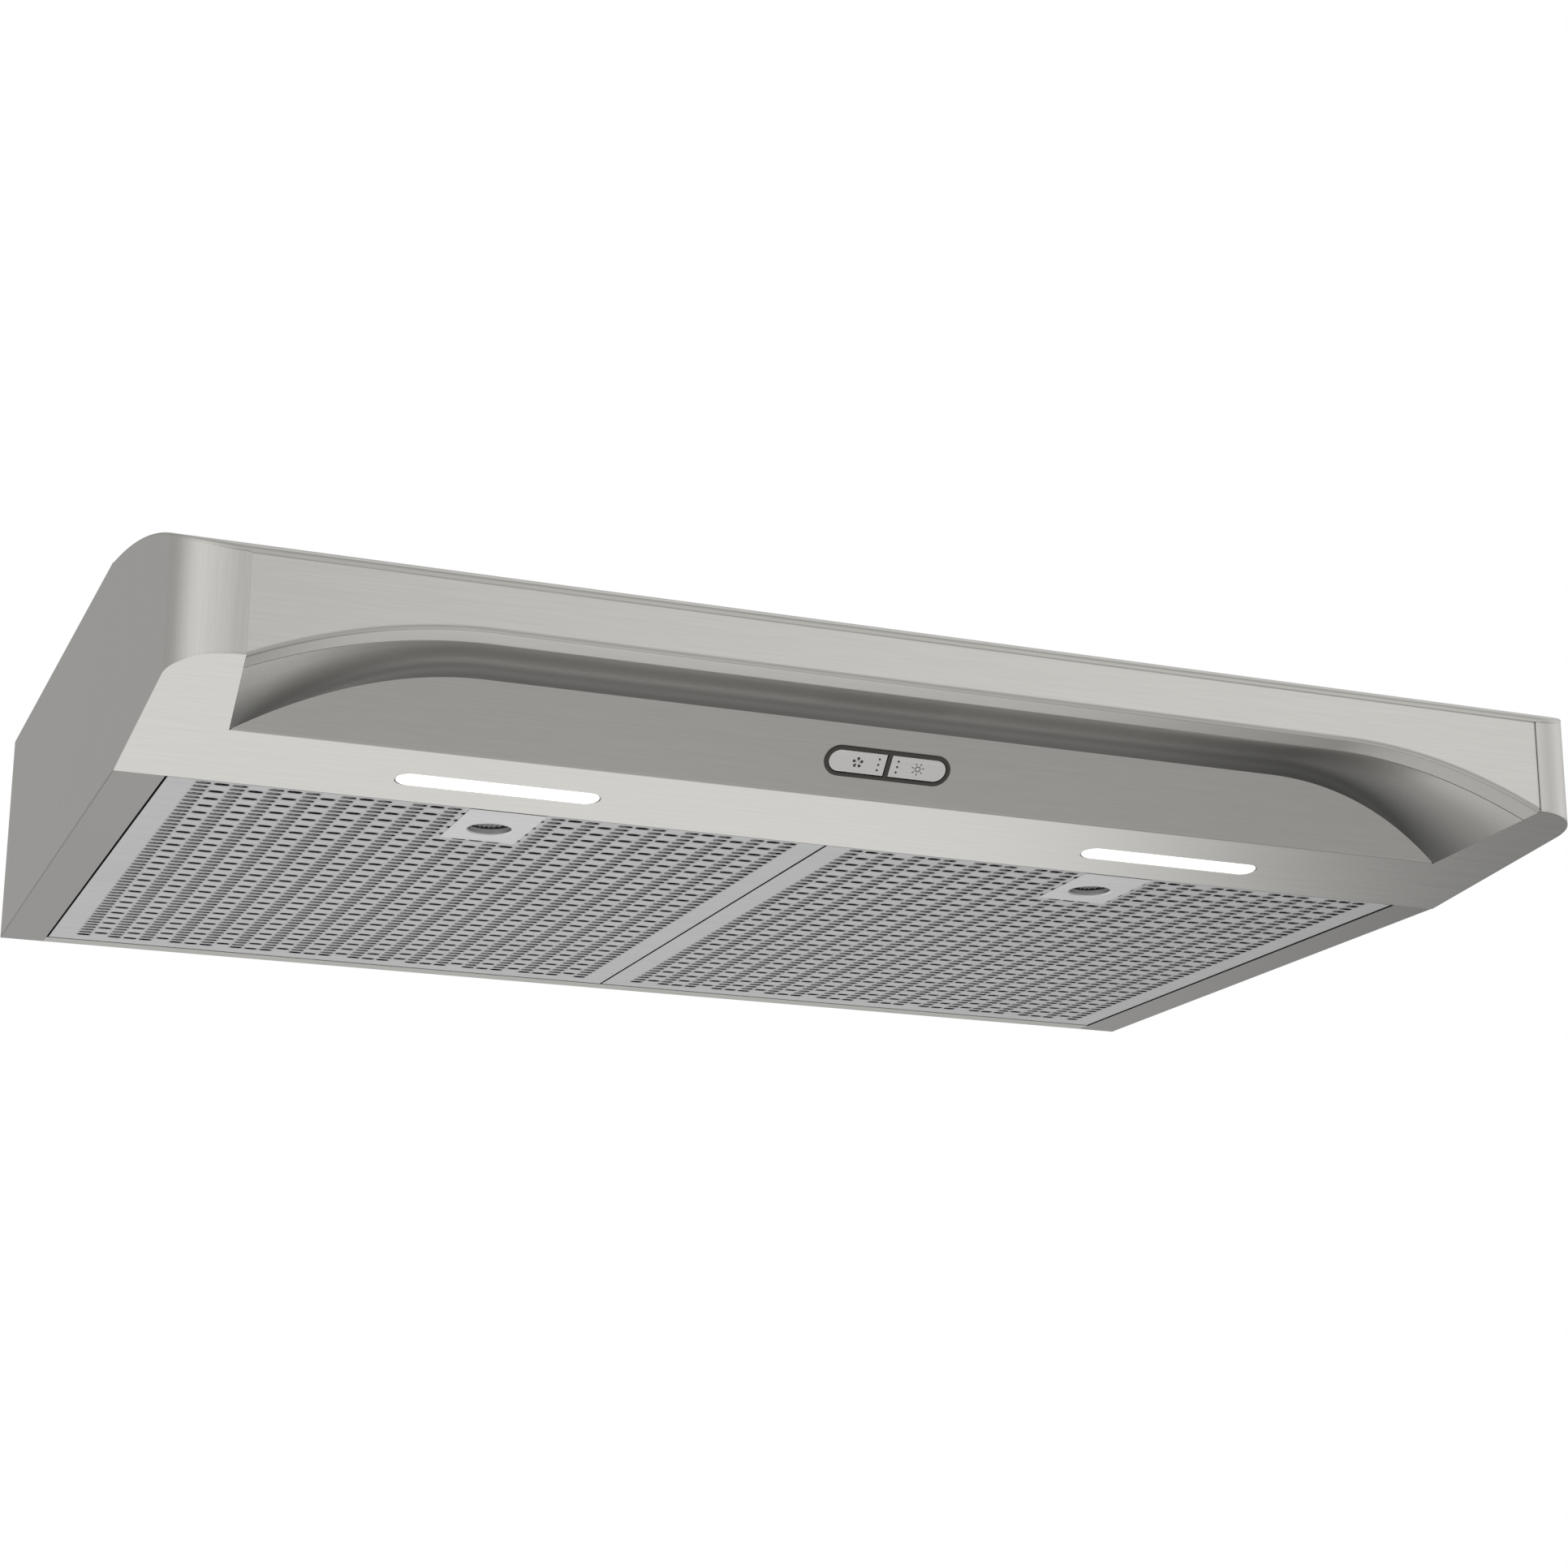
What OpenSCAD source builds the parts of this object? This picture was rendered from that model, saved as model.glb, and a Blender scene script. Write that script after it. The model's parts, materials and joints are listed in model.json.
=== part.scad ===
// Under-cabinet range hood with a scooped front, two grease filters and two lights.
// The model hangs from Z = 0, the cabinet's underside. The front faces -Y.
// The pieces are drawn with X centred, y from the front face and z from the underside.

/* [Body] */
// Overall width of the hood
hood_w = 759; // [700:1:920]
// Depth from the front face to the back
hood_d = 550; // [520:1:680]
// Height at the back
hood_h = 124; // [116:1:160]
// Height of the top edge of the front face
front_h = 69; // [64:1:80]
// Depth of the curved visor top, from the front face
visor_run = 200; // [185:1:205]
// How far the visor top bulges above its chord
visor_bulge = 7; // [3:0.5:12]
// Radius of the two upright front corners
corner_r = 32; // [24:1:40]
// Thickness of the shell's sheet steel
sheet = 1; // [0.8:0.1:1.5]
// Height of the visor's turned-down front hem
visor_hem = 3; // [2:0.5:5]

/* [Underside] */
// How far the underside rises to the front edge
band_rise = 16.5; // [12:0.5:24]
// Depth of the sloping band behind the front face
band_run = 154; // [146:1:164]
// Width of the flange along each side of the underside
flange_w = 25.5; // [20:0.5:40]
// Depth of the lip along the back of the underside
rear_lip = 11.5; // [9:0.5:16]

/* [Scoop] */
// Height of the front face's lower edge in the middle
lip_z = 42.7; // [38:0.1:48]
// Depth of the strip under that edge
strip_d = 14.4; // [8:0.1:20]
// Length over which the scoop runs out at each end
scoop_end = 118; // [80:1:150]
// How far the scoop's rear corners lie inside its front corners
scoop_splay = 11; // [4:1:20]
// Distance from the front face to the control panel's lower edge
panel_y = 87; // [80:1:96]
// Height of the control panel, along its slope
panel_len = 41.3; // [36:0.1:46]
// Slope of the control panel, from the vertical
panel_tilt = 40.8; // [36:0.2:46]
// Rise of the scoop's ceiling near its front
cove_front = 5; // [1:0.5:9]
// Rise of the scoop's ceiling near the control panel
cove_rear = 12; // [4:0.5:16]

/* [Keys] */
// Length of the key surround
keys_l = 70; // [60:1:90]
// Height of the key surround
keys_h = 17; // [15:0.5:22]
// Width of the surround's rim
keys_rim = 2; // [1.5:0.1:3]
// Clearance between a key and its surround
key_gap = 0.3; // [0.2:0.05:0.6]
// Travel of a key
key_travel = 1.2; // [0.8:0.1:1.6]
// Depth of a key behind the panel
key_d = 5; // [4:0.5:7]

/* [Lights] */
// Length of a light window
light_l = 108; // [80:1:130]
// Width of a light window
light_w = 16; // [12:0.5:20]
// Distance of the lights from the middle of the hood
light_x = 191.5; // [150:0.5:210]
// Distance of each light from the rear edge of the sloping band
light_back = 28.5; // [20:0.5:38]
// Clearance round a light lens
lens_gap = 0.2; // [0.1:0.05:0.5]
// Height of a lamp tray
tray_h = 14; // [10:1:20]

/* [Filters] */
// Thickness of a grease filter
filter_t = 9; // [8:0.5:12]
// Gap between the underside band and the filters
filter_gap = 2; // [1:0.5:4]
// Gap beside each filter
side_gap = 1.5; // [1:0.25:3]
// Width of a filter frame's border
border = 13; // [10:0.5:18]
// Thickness of a filter's sheets
skin = 0.8; // [0.6:0.1:1.2]
// Width of a latch plate
latch_w = 41; // [36:1:50]
// Depth of a latch plate
latch_d = 60; // [52:1:70]
// Diameter of the finger hole in a latch plate
finger_d = 23; // [18:0.5:26]
// Distance of the finger hole from the filter's front edge
finger_y = 36; // [30:0.5:42]
// Travel of a latch
latch_travel = 6; // [5:0.5:8]
// Thickness of a latch slide
latch_t = 2; // [1.5:0.1:3]
// Height of the latch slide above the underside
latch_z = 4.6; // [4.2:0.1:4.8]
// Reach of a latch tongue beyond the filter
latch_reach = 5.5; // [4.5:0.5:7]
// Clearance round a latch slide
latch_gap = 0.5; // [0.3:0.1:1]

/* [Blower] */
// Outer radius of the blower wheel
wheel_r = 84; // [76:1:88]
// Height of the blower wheel
wheel_h = 66; // [52:1:70]
// Number of blades
blades = 36; // [12:1:44]
// Clearance between the wheel and the scroll at its tightest
scroll_gap = 12; // [8:1:16]
// How much the scroll widens in one turn
scroll_grow = 38; // [20:1:42]
// Height of the scroll housing
scroll_h = 88; // [80:1:90]
// Radius of the motor
motor_r = 42; // [36:1:44]
// Length of the motor
motor_l = 54; // [40:1:56]
// Diameter of the motor shaft
shaft_d = 8; // [6:0.5:10]
// Clearance of the shaft in the motor's bearing
shaft_gap = 0.3; // [0.2:0.05:0.5]

/* [Duct] */
// Length of the duct opening
duct_l = 254; // [230:1:260]
// Width of the duct opening
duct_w = 82.6; // [76:0.1:90]
// Height of the duct collar above the top
collar_h = 38; // [30:1:60]
// Width of the collar's flange
collar_flange = 12; // [8:1:18]
// Distance of the duct opening from the back
duct_back = 27; // [22:1:36]
// Depth of the turned-down edge round the duct opening
duct_edge_h = 4; // [3:0.5:8]
// Clearance round the damper flap
flap_gap = 1.5; // [1:0.25:3]
// Height of the damper's pin above the top
flap_z = 12; // [8:1:18]
// Diameter of the damper's pin
pin_d = 4; // [3:0.5:6]
// Clearance of the damper's pin in the collar
pin_gap = 0.2; // [0.1:0.05:0.4]

/* [Mounting] */
// Spacing of the cabinet screws across the hood
screw_x = 660; // [560:1:680]
// Spacing of the cabinet screws from front to back
screw_y = 240; // [200:1:250]
// Distance from the front face to the middle of the cabinet screws
mount_y = 380; // [370:1:384]
// Diameter of the cabinet screw holes
screw_d = 5.5; // [4:0.5:7]
// Diameter of the cable entry
entry_d = 22.2; // [20:0.1:28]
// Distance of the cable entry from the middle
entry_x = 250; // [220:1:280]
// Distance of the cable entry from the back
entry_back = 70; // [50:1:90]

/* [Hidden] */
$fn = 48;
far = 2000;
half_w = hood_w / 2;
// The visor's top is an arc through the front face's top edge and the flat top's front edge.
rise = hood_h - front_h;
chord = sqrt(visor_run * visor_run + rise * rise);
arc_r = (chord * chord / 4 + visor_bulge * visor_bulge) / (2 * visor_bulge);
arc_y = visor_run / 2 + rise / chord * (arc_r - visor_bulge);
arc_z = front_h + rise / 2 - visor_run / chord * (arc_r - visor_bulge);
arc_fn = 360;
hem_overlap = 0.4;
hem_inset = 1;
// The sloping band and the control panel
band_slope = band_rise / band_run;
light_y = band_run - light_back;
band_angle = atan(band_slope);
panel_z = band_rise - panel_y * band_slope;
key_mid = panel_len / 2;
lip_end = half_w - corner_r;
lip_flat = lip_end - scoop_end;
valley_end = lip_end - scoop_splay;
valley_flat = valley_end - scoop_end;
end_steps = 10;
cove_steps = 8;
// Keys and their board
surround_h = 0.8;
sleeve_d = 4;
sleeve_wall = 1;
keys_inner_h = keys_h - 2 * keys_rim;
key_proud = 0.3;
divider_w = 2;
board_t = 1.6;
board_l = 92;
board_w = 32;
switch_gap = 0.4;
switch_h = 2.6;
switch_w = 6;
board_z = key_d + key_travel + switch_gap + switch_h;
standoff_d = 6;
standoff_inset = 4;
// Lights
lens_t = 2.4;
lens_rim = 3;
tray_wall = 1;
tray_l = light_l + 14;
tray_w = light_w + 10;
led_board_l = light_l + 6;
led_board_w = light_w - 2;
led_board_z = 9;
// Filters
filter_y0 = band_run + filter_gap;
filter_y1 = hood_d - rear_lip - side_gap;
filter_x0 = side_gap / 2;
filter_x1 = half_w - flange_w - side_gap;
filter_mid = (filter_x0 + filter_x1) / 2;
filter_l = filter_y1 - filter_y0;
mesh_layers = 3;
mesh_layer_t = 0.5;
tab_w = 30;
tab_l = 6;
tab_t = 2;
tab_z = 3;
tab_in = 70;
latch_pad_w = finger_d + 9;
latch_tongue_w = 18;
latch_pad_l = finger_d + 2 * latch_travel + 4;
pocket_w = latch_pad_w + 2 * latch_gap;
pocket_l = finger_y + latch_pad_l / 2 + latch_travel + 2;
// Blower
scroll_top = hood_h - sheet;
scroll_bottom = scroll_top - scroll_h;
scroll_r0 = wheel_r + scroll_gap;
scroll_r1 = scroll_r0 + scroll_grow;
tongue_angle = 60;
tongue_x = scroll_r0 * cos(tongue_angle);
duct_y0 = hood_d - duct_back - duct_w;
plenum_wall = 1;
plenum_margin = 10;
plenum_y0 = duct_y0 - plenum_margin;
plenum_y1 = hood_d - duct_back + plenum_margin;
plenum_x0 = -duct_l / 2 - plenum_margin;
plenum_x1 = max(scroll_r1, duct_l / 2 + plenum_margin);
scroll_rear_gap = 2;
wheel_y = plenum_y0 - scroll_rear_gap - scroll_r(90);
scroll_len = plenum_y0 - wheel_y;
wheel_z0 = scroll_bottom + 9;
wheel_z1 = wheel_z0 + wheel_h;
blade_w = 16;
blade_t = 1;
hub_plate = 2;
dish_gap = 6;
dish_r = motor_r + dish_gap;
motor_z0 = scroll_top - sheet - motor_l;
dish_z = motor_z0 - dish_gap;
hub_r = 10;
hub_h = 8;
shaft_up = 12;
inlet_r = wheel_r - blade_w - 4;
bell_h = 8;
cap_d = 35;
cap_l = 62;
cap_x = -240;
cap_y = 330;
clamp_w = 20;
// Damper and duct
collar_wall = 1;
flap_t = 1;
flap_w = duct_w - 2 * collar_wall - 2 * flap_gap;
flap_l = duct_l - 2 * collar_wall - 2 * flap_gap;
flap_y0 = duct_y0 + collar_wall + flap_gap;
pin_y = flap_y0 + pin_d / 2 + 1;
// Electrical pieces
box_l = 120;
box_w = 80;
box_h = 42;
box_x = entry_x - 30;
box_y = hood_d - entry_back - box_w / 2;
driver_l = 90;
driver_w = 42;
driver_h = 24;
driver_x = -300;
driver_y = 250;
screw_head_r = 4;
screw_head_h = 2;
screw_shank_d = 3;
screw_shank_l = 6;
collar_screw_x = duct_l / 2 + collar_flange / 2;
collar_screw_y = duct_w / 2 + collar_flange / 2;
lug_w = 12;

module in_frame() {
    translate([0, -mount_y, -hood_h])
        children();
}

// A slab with half-round ends, length l along x and width w along y.
module pill(l, w, h) {
    translate([-(l - w) / 2, -w / 2, 0])
        cube([l - w, w, h]);
    for (s = [-1, 1])
        translate([s * (l - w) / 2, 0, 0])
            cylinder(d = w, h = h);
}

// The hood's outline from above, drawn in by inset: square at the back, round at the front.
module plan_solid(inset) {
    w = half_w - inset;
    r = corner_r - inset;
    translate([-w, corner_r, -far / 2])
        cube([2 * w, hood_d - corner_r - inset, far]);
    translate([-(half_w - corner_r), inset, -far / 2])
        cube([hood_w - 2 * corner_r, corner_r, far]);
    for (s = [-1, 1])
        translate([s * (half_w - corner_r), corner_r, -far / 2])
            cylinder(r = r, h = far, $fn = 96);
}

// Everything under the top surface, lowered by drop.
module under_top(drop) {
    translate([-half_w, visor_run, -far / 2])
        cube([hood_w, hood_d - visor_run, far / 2 + hood_h - drop]);
    intersection() {
        translate([-half_w, -corner_r, -hood_h])
            cube([hood_w, corner_r + visor_run, 3 * hood_h]);
        translate([0, arc_y, arc_z])
            rotate([0, 90, 0])
                cylinder(r = arc_r - drop, h = hood_w, center = true, $fn = arc_fn);
    }
}

// Everything above the underside, raised by lift.
module over_bottom(lift) {
    rotate([90, 0, 90])
        linear_extrude(height = hood_w, center = true)
            polygon([[0, band_rise + lift], [band_run, lift], [hood_d, lift],
                [hood_d, far / 4], [0, far / 4]]);
}

// Everything above the sloping band's sheet in front, and above the underside behind it.
module over_band() {
    rotate([90, 0, 90])
        linear_extrude(height = hood_w, center = true)
            polygon([[0, band_rise + sheet], [band_run, sheet], [band_run, 0], [hood_d, 0],
                [hood_d, far / 4], [0, far / 4]]);
}

// Local axes of the control panel: x across, y up the slope, z out of it.
module on_panel() {
    translate([0, panel_y, panel_z])
        rotate([90 + panel_tilt, 0, 0])
            children();
}

// Local axes of the sloping band: x across, y to the back, z up, from the band's rear edge.
module on_band() {
    translate([0, band_run, 0])
        rotate([-band_angle, 0, 0])
            children();
}

module at_light(side) {
    on_band()
        translate([side * light_x, (light_y - band_run) / cos(band_angle), 0])
            children();
}

// Height of the front face's lower edge at x
function lip_drop(e) = (lip_z - band_rise) * e * e;
function lip_at(x) = lip_z - lip_drop(max(0, (abs(x) - lip_flat) / scoop_end));
// Height of the control panel's top edge at x, along its slope
function valley_at(x) = panel_len * (1 - pow(max(0, (abs(x) - valley_flat) / scoop_end), 2));
// Places along half of the hood, from the middle out to the scoop's end
function out_x(flat) = [for (i = [0:end_steps]) flat + scoop_end * i / end_steps];
function across(flat) = concat([for (i = [end_steps:-1:0]) -out_x(flat)[i]], out_x(flat));

module at_collar_screws() {
    for (x = [-1, 0, 1], y = [-1, 1])
        translate([x * collar_screw_x, duct_y0 + duct_w / 2 + y * collar_screw_y, hood_h])
            children();
}

module side_panel(side) {
    in_frame() {
        intersection() {
            difference() {
                plan_solid(0);
                plan_solid(sheet);
            }
            under_top(sheet);
            over_band();
            translate([side > 0 ? lip_end : -half_w, 0, 0])
                cube([corner_r, hood_d - sheet, hood_h]);
        }
        translate([side > 0 ? half_w - flange_w : -half_w + sheet, band_run, 0])
            cube([flange_w - sheet, hood_d - sheet - band_run, sheet]);
    }
}

module left_side_panel() {
    color("#97958f")
        side_panel(-1);
}

module right_side_panel() {
    color("#97958f")
        side_panel(1);
}

module top_panel() {
    color("#a9a8a4")
        in_frame()
            difference() {
                union() {
                    translate([-half_w, visor_run, hood_h - sheet])
                        cube([hood_w, hood_d - visor_run, sheet]);
                    translate([-duct_l / 2, duct_y0, hood_h - sheet - duct_edge_h])
                        cube([duct_l, duct_w, sheet + duct_edge_h]);
                }
                translate([-duct_l / 2 + collar_wall, duct_y0 + collar_wall,
                        hood_h - 2 * sheet - duct_edge_h])
                    cube([duct_l - 2 * collar_wall, duct_w - 2 * collar_wall,
                        3 * sheet + duct_edge_h]);
                for (x = [-1, 1], y = [-1, 1])
                    translate([x * screw_x / 2, mount_y + y * screw_y / 2, hood_h - 2 * sheet])
                        cylinder(d = screw_d, h = 3 * sheet);
                translate([entry_x, hood_d - entry_back, hood_h - 2 * sheet])
                    cylinder(d = entry_d, h = 3 * sheet);
                at_collar_screws()
                    cylinder(d = screw_shank_d, h = 4 * sheet, center = true);
            }
}

module visor_cover() {
    color("#a9a8a4")
        in_frame() {
            intersection() {
                plan_solid(0);
                difference() {
                    under_top(0);
                    under_top(sheet);
                }
                translate([-half_w, -corner_r, 0])
                    cube([hood_w, corner_r + visor_run, 2 * hood_h]);
            }
            translate([-lip_end + hem_inset, 0, front_h - visor_hem])
                cube([2 * (lip_end - hem_inset), sheet, visor_hem - sheet * hem_overlap]);
        }
}

module back_panel() {
    color("#9a9994")
        in_frame() {
            translate([-half_w, hood_d - sheet, 0])
                cube([hood_w, sheet, hood_h - sheet]);
            translate([-half_w + flange_w, hood_d - rear_lip, 0])
                cube([hood_w - 2 * flange_w, rear_lip - sheet, sheet]);
        }
}

module front_face_panel() {
    top = front_h - visor_hem;
    color("#b6b5b0")
        in_frame()
            translate([0, sheet, 0])
                rotate([90, 0, 0])
                    linear_extrude(height = sheet)
                        polygon(concat(
                            [for (x = across(lip_flat)) [x, lip_at(x) + sheet]],
                            [[lip_end, top], [-lip_end, top]]));
}

function mix(a, b, t) = a + (b - a) * t;
function bezier(a, b, c, d, t) =
    a * pow(1 - t, 3) + b * 3 * t * pow(1 - t, 2) + c * 3 * t * t * (1 - t) + d * pow(t, 3);
// One cross-section of the scoop: e is 0 over the flat middle and 1 at the scoop's end.
function scoop_section(e, side) =
    let (
        up = panel_len * (1 - e * e),
        x_lip = side * (lip_flat + scoop_end * e),
        x_val = side * (valley_flat + scoop_end * e),
        z_lip = lip_z - lip_drop(e),
        valley = [panel_y - up * sin(panel_tilt), panel_z + up * cos(panel_tilt)],
        strip = [strip_d, z_lip - band_slope * strip_d],
        lift = 1 - e * e,
        c1 = mix(strip, valley, 1 / 3) + [0, cove_front * lift],
        c2 = mix(strip, valley, 0.85) + [0, cove_rear * lift],
        rows = concat([[0, z_lip]],
            [for (j = [0:cove_steps]) bezier(strip, c1, c2, valley, j / cove_steps)]))
    [for (p = rows) [mix(x_lip, x_val, p[0] / valley[0]), p[0], p[1]]];
function scoop_back(points) =
    [for (j = [0:len(points) - 1])
        let (a = (90 - panel_tilt) * max(0, j - 1) / cove_steps)
        points[j] + sheet * [0, sin(a), cos(a)]];

module scoop_liner() {
    left = [for (i = [end_steps:-1:0]) scoop_section(i / end_steps, -1)];
    right = [for (i = [0:end_steps]) scoop_section(i / end_steps, 1)];
    sections = concat(left, right);
    rings = [for (s = sections)
        let (b = scoop_back(s))
        concat(s, [for (j = [len(b) - 1:-1:0]) b[j]])];
    n = len(rings[0]);
    m = len(rings);
    color("#8f8e89")
        in_frame()
            polyhedron(
                points = [for (r = rings) each r],
                faces = concat(
                    [for (i = [0:m - 2], j = [0:n - 1]) each [
                        [i * n + j, i * n + (j + 1) % n, (i + 1) * n + j],
                        [i * n + (j + 1) % n, (i + 1) * n + (j + 1) % n, (i + 1) * n + j]]],
                    [for (j = [0:n / 2 - 2]) each [
                        [j, n - 1 - j, j + 1],
                        [j + 1, n - 1 - j, n - 2 - j]]],
                    [for (j = [0:n / 2 - 2]) each [
                        [(m - 1) * n + j, (m - 1) * n + j + 1, m * n - 1 - j],
                        [(m - 1) * n + j + 1, m * n - 2 - j, m * n - 1 - j]]]));
}

module light_band() {
    color("#c2c1bc")
        in_frame()
            difference() {
                intersection() {
                    plan_solid(0);
                    difference() {
                        over_bottom(0);
                        over_bottom(sheet);
                    }
                    translate([-half_w, 0, 0])
                        cube([hood_w, band_run, hood_h]);
                }
                translate([0, 0, -hood_h])
                    linear_extrude(height = 2 * hood_h)
                        polygon([[-lip_end, -1], [lip_end, -1], [lip_end, 0],
                            [valley_end, panel_y], [-valley_end, panel_y], [-lip_end, 0]]);
                for (s = [-1, 1])
                    at_light(s)
                        translate([0, 0, -2 * sheet])
                            pill(light_l, light_w, 5 * sheet);
            }
}

module control_panel() {
    color("#989791")
        in_frame()
            intersection() {
                on_panel()
                    difference() {
                        translate([0, 0, -sheet])
                            linear_extrude(height = sheet)
                                polygon([for (x = across(valley_flat)) [x, valley_at(x)]]);
                        translate([0, key_mid, -2 * sheet])
                            pill(keys_l - keys_rim, keys_h - keys_rim, 3 * sheet);
                    }
                // the foot butts against the front edge of the band
                translate([-half_w, 0, 0])
                    cube([hood_w, panel_y, hood_h]);
            }
}

// Stiffener above the band, which ties the two side panels together
module front_cross_member() {
    y = band_run - 40;
    z = band_rise + tray_h + 10;
    color("#8d8c88")
        in_frame() {
            translate([-half_w + sheet, y, z])
                cube([hood_w - 2 * sheet, 30, sheet]);
            translate([-half_w + sheet, y, z + sheet])
                cube([hood_w - 2 * sheet, sheet, 12]);
        }
}

module rear_cross_member() {
    z = filter_t + 8;
    color("#8d8c88")
        in_frame() {
            translate([-half_w + sheet, hood_d - sheet - 12, z])
                cube([hood_w - 2 * sheet, 12, sheet]);
            translate([-half_w + sheet, hood_d - sheet - 12, z + sheet])
                cube([hood_w - 2 * sheet, sheet, 8]);
        }
}

module key_surround() {
    inner_l = keys_l - 2 * keys_rim;
    color("#5f5a56")
        in_frame()
            on_panel()
                translate([0, key_mid, 0]) {
                    difference() {
                        union() {
                            pill(keys_l, keys_h, surround_h);
                            translate([0, 0, -sleeve_d])
                                pill(inner_l + 2 * sleeve_wall, keys_inner_h + 2 * sleeve_wall,
                                    sleeve_d);
                        }
                        translate([0, 0, -sleeve_d - 1])
                            pill(inner_l, keys_inner_h, sleeve_d + surround_h + 2);
                    }
                    translate([-divider_w / 2, -keys_inner_h / 2 - sleeve_wall / 2, -sleeve_d])
                        cube([divider_w, keys_inner_h + sleeve_wall, sleeve_d + surround_h]);
                }
}

module key(side) {
    inner_l = keys_l - 2 * keys_rim - 2 * key_gap;
    edge = divider_w / 2 + key_gap;
    in_frame()
        on_panel()
            translate([0, key_mid, -key_d])
                intersection() {
                    pill(inner_l, keys_inner_h - 2 * key_gap, key_d + key_proud);
                    translate([side > 0 ? edge : -keys_l - edge, -keys_h, 0])
                        cube([keys_l, 2 * keys_h, 2 * key_d]);
                }
}

module fan_key() {
    color("#b0adab")
        key(-1);
}

module light_key() {
    color("#b0adab")
        key(1);
}

module control_board() {
    color("#2f6b4a")
        in_frame()
            on_panel()
                translate([-board_l / 2, key_mid - board_w / 2, -board_z - board_t])
                    cube([board_l, board_w, board_t]);
}

module control_switches() {
    color("#2b2b2b")
        in_frame()
            on_panel()
                for (s = [-1, 1])
                    translate([s * keys_l / 4 - switch_w / 2, key_mid - switch_w / 2, -board_z])
                        cube([switch_w, switch_w, switch_h]);
}

module control_standoffs() {
    color("#c9c6bd")
        in_frame()
            on_panel()
                for (x = [-1, 1], y = [-1, 1])
                    translate([x * (board_l / 2 - standoff_inset),
                            key_mid + y * (board_w / 2 - standoff_inset), -board_z])
                        cylinder(d = standoff_d, h = board_z - sheet);
}

module light_lens(side) {
    in_frame()
        at_light(side) {
            pill(light_l - 2 * lens_gap, light_w - 2 * lens_gap, lens_t);
            translate([0, 0, sheet])
                pill(light_l + lens_rim, light_w + lens_rim, lens_t - sheet);
        }
}

module left_light_lens() {
    color("#fbfbf8")
        light_lens(-1);
}

module right_light_lens() {
    color("#fbfbf8")
        light_lens(1);
}

module light_board(side) {
    in_frame()
        at_light(side)
            translate([-led_board_l / 2, -led_board_w / 2, led_board_z])
                cube([led_board_l, led_board_w, board_t]);
}

module left_light_board() {
    color("#e8e6d8")
        light_board(-1);
}

module right_light_board() {
    color("#e8e6d8")
        light_board(1);
}

module light_tray(side) {
    in_frame()
        at_light(side)
            difference() {
                translate([-tray_l / 2, -tray_w / 2, sheet])
                    cube([tray_l, tray_w, tray_h]);
                translate([-tray_l / 2 + tray_wall, -tray_w / 2 + tray_wall, 0])
                    cube([tray_l - 2 * tray_wall, tray_w - 2 * tray_wall,
                        led_board_z + board_t]);
            }
}

module left_light_tray() {
    color("#d8d8d4")
        light_tray(-1);
}

module right_light_tray() {
    color("#d8d8d4")
        light_tray(1);
}

module light_driver() {
    color("#e5e5e2")
        in_frame()
            translate([driver_x, driver_y, hood_h - sheet - driver_h])
                cube([driver_l, driver_w, driver_h]);
}

function scroll_r(a) = scroll_r0 + scroll_grow * (a - tongue_angle) / (360 - tongue_angle);
function scroll_path(inset) = concat(
    [for (a = [tongue_angle:10:360]) (scroll_r(a) - inset) * [cos(a), sin(a)]],
    [[scroll_r1 - inset, scroll_len], [tongue_x + inset, scroll_len]]);

module blower_housing() {
    color("#a8a9a8")
        in_frame()
            translate([0, wheel_y, scroll_bottom])
                difference() {
                    linear_extrude(height = scroll_h)
                        polygon(scroll_path(0));
                    translate([0, 0, -sheet])
                        linear_extrude(height = scroll_h)
                            polygon(scroll_path(sheet));
                    translate([tongue_x + sheet, scroll_len - sheet, -sheet])
                        cube([scroll_r1 - tongue_x - 2 * sheet, 2 * sheet, scroll_h]);
                }
}

module inlet_plate() {
    color("#9fa0a0")
        in_frame()
            translate([0, wheel_y, scroll_bottom - sheet])
                difference() {
                    union() {
                        linear_extrude(height = sheet)
                            polygon(scroll_path(0));
                        cylinder(r = inlet_r + sheet, h = sheet + bell_h, $fn = 96);
                    }
                    translate([0, 0, -sheet])
                        cylinder(r = inlet_r, h = bell_h + 3 * sheet, $fn = 96);
                }
}

module blower_wheel() {
    color("#3a3d40")
        in_frame()
            translate([0, wheel_y, 0])
                difference() {
                    union() {
                        for (z = [wheel_z0, wheel_z1 - hub_plate])
                            translate([0, 0, z])
                                difference() {
                                    cylinder(r = wheel_r, h = hub_plate, $fn = 96);
                                    translate([0, 0, -1])
                                        cylinder(r = z > wheel_z0 ? dish_r - hub_plate / 2
                                            : wheel_r - blade_w, h = hub_plate + 2, $fn = 96);
                                }
                        for (i = [0:blades - 1])
                            rotate([0, 0, i * 360 / blades])
                                translate([wheel_r - blade_w + 1, -blade_t / 2, wheel_z0 + 1])
                                    cube([blade_w - 2, blade_t, wheel_h - 2]);
                        translate([0, 0, dish_z - hub_plate])
                            difference() {
                                cylinder(r = dish_r, h = wheel_z1 - dish_z + hub_plate);
                                translate([0, 0, hub_plate])
                                    cylinder(r = dish_r - hub_plate, h = wheel_h);
                            }
                        translate([0, 0, dish_z - hub_h])
                            cylinder(r = hub_r, h = hub_h - 1);
                    }
                    translate([0, 0, dish_z - hub_h - 1])
                        cylinder(d = shaft_d, h = hub_h + 2);
                }
}

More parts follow.
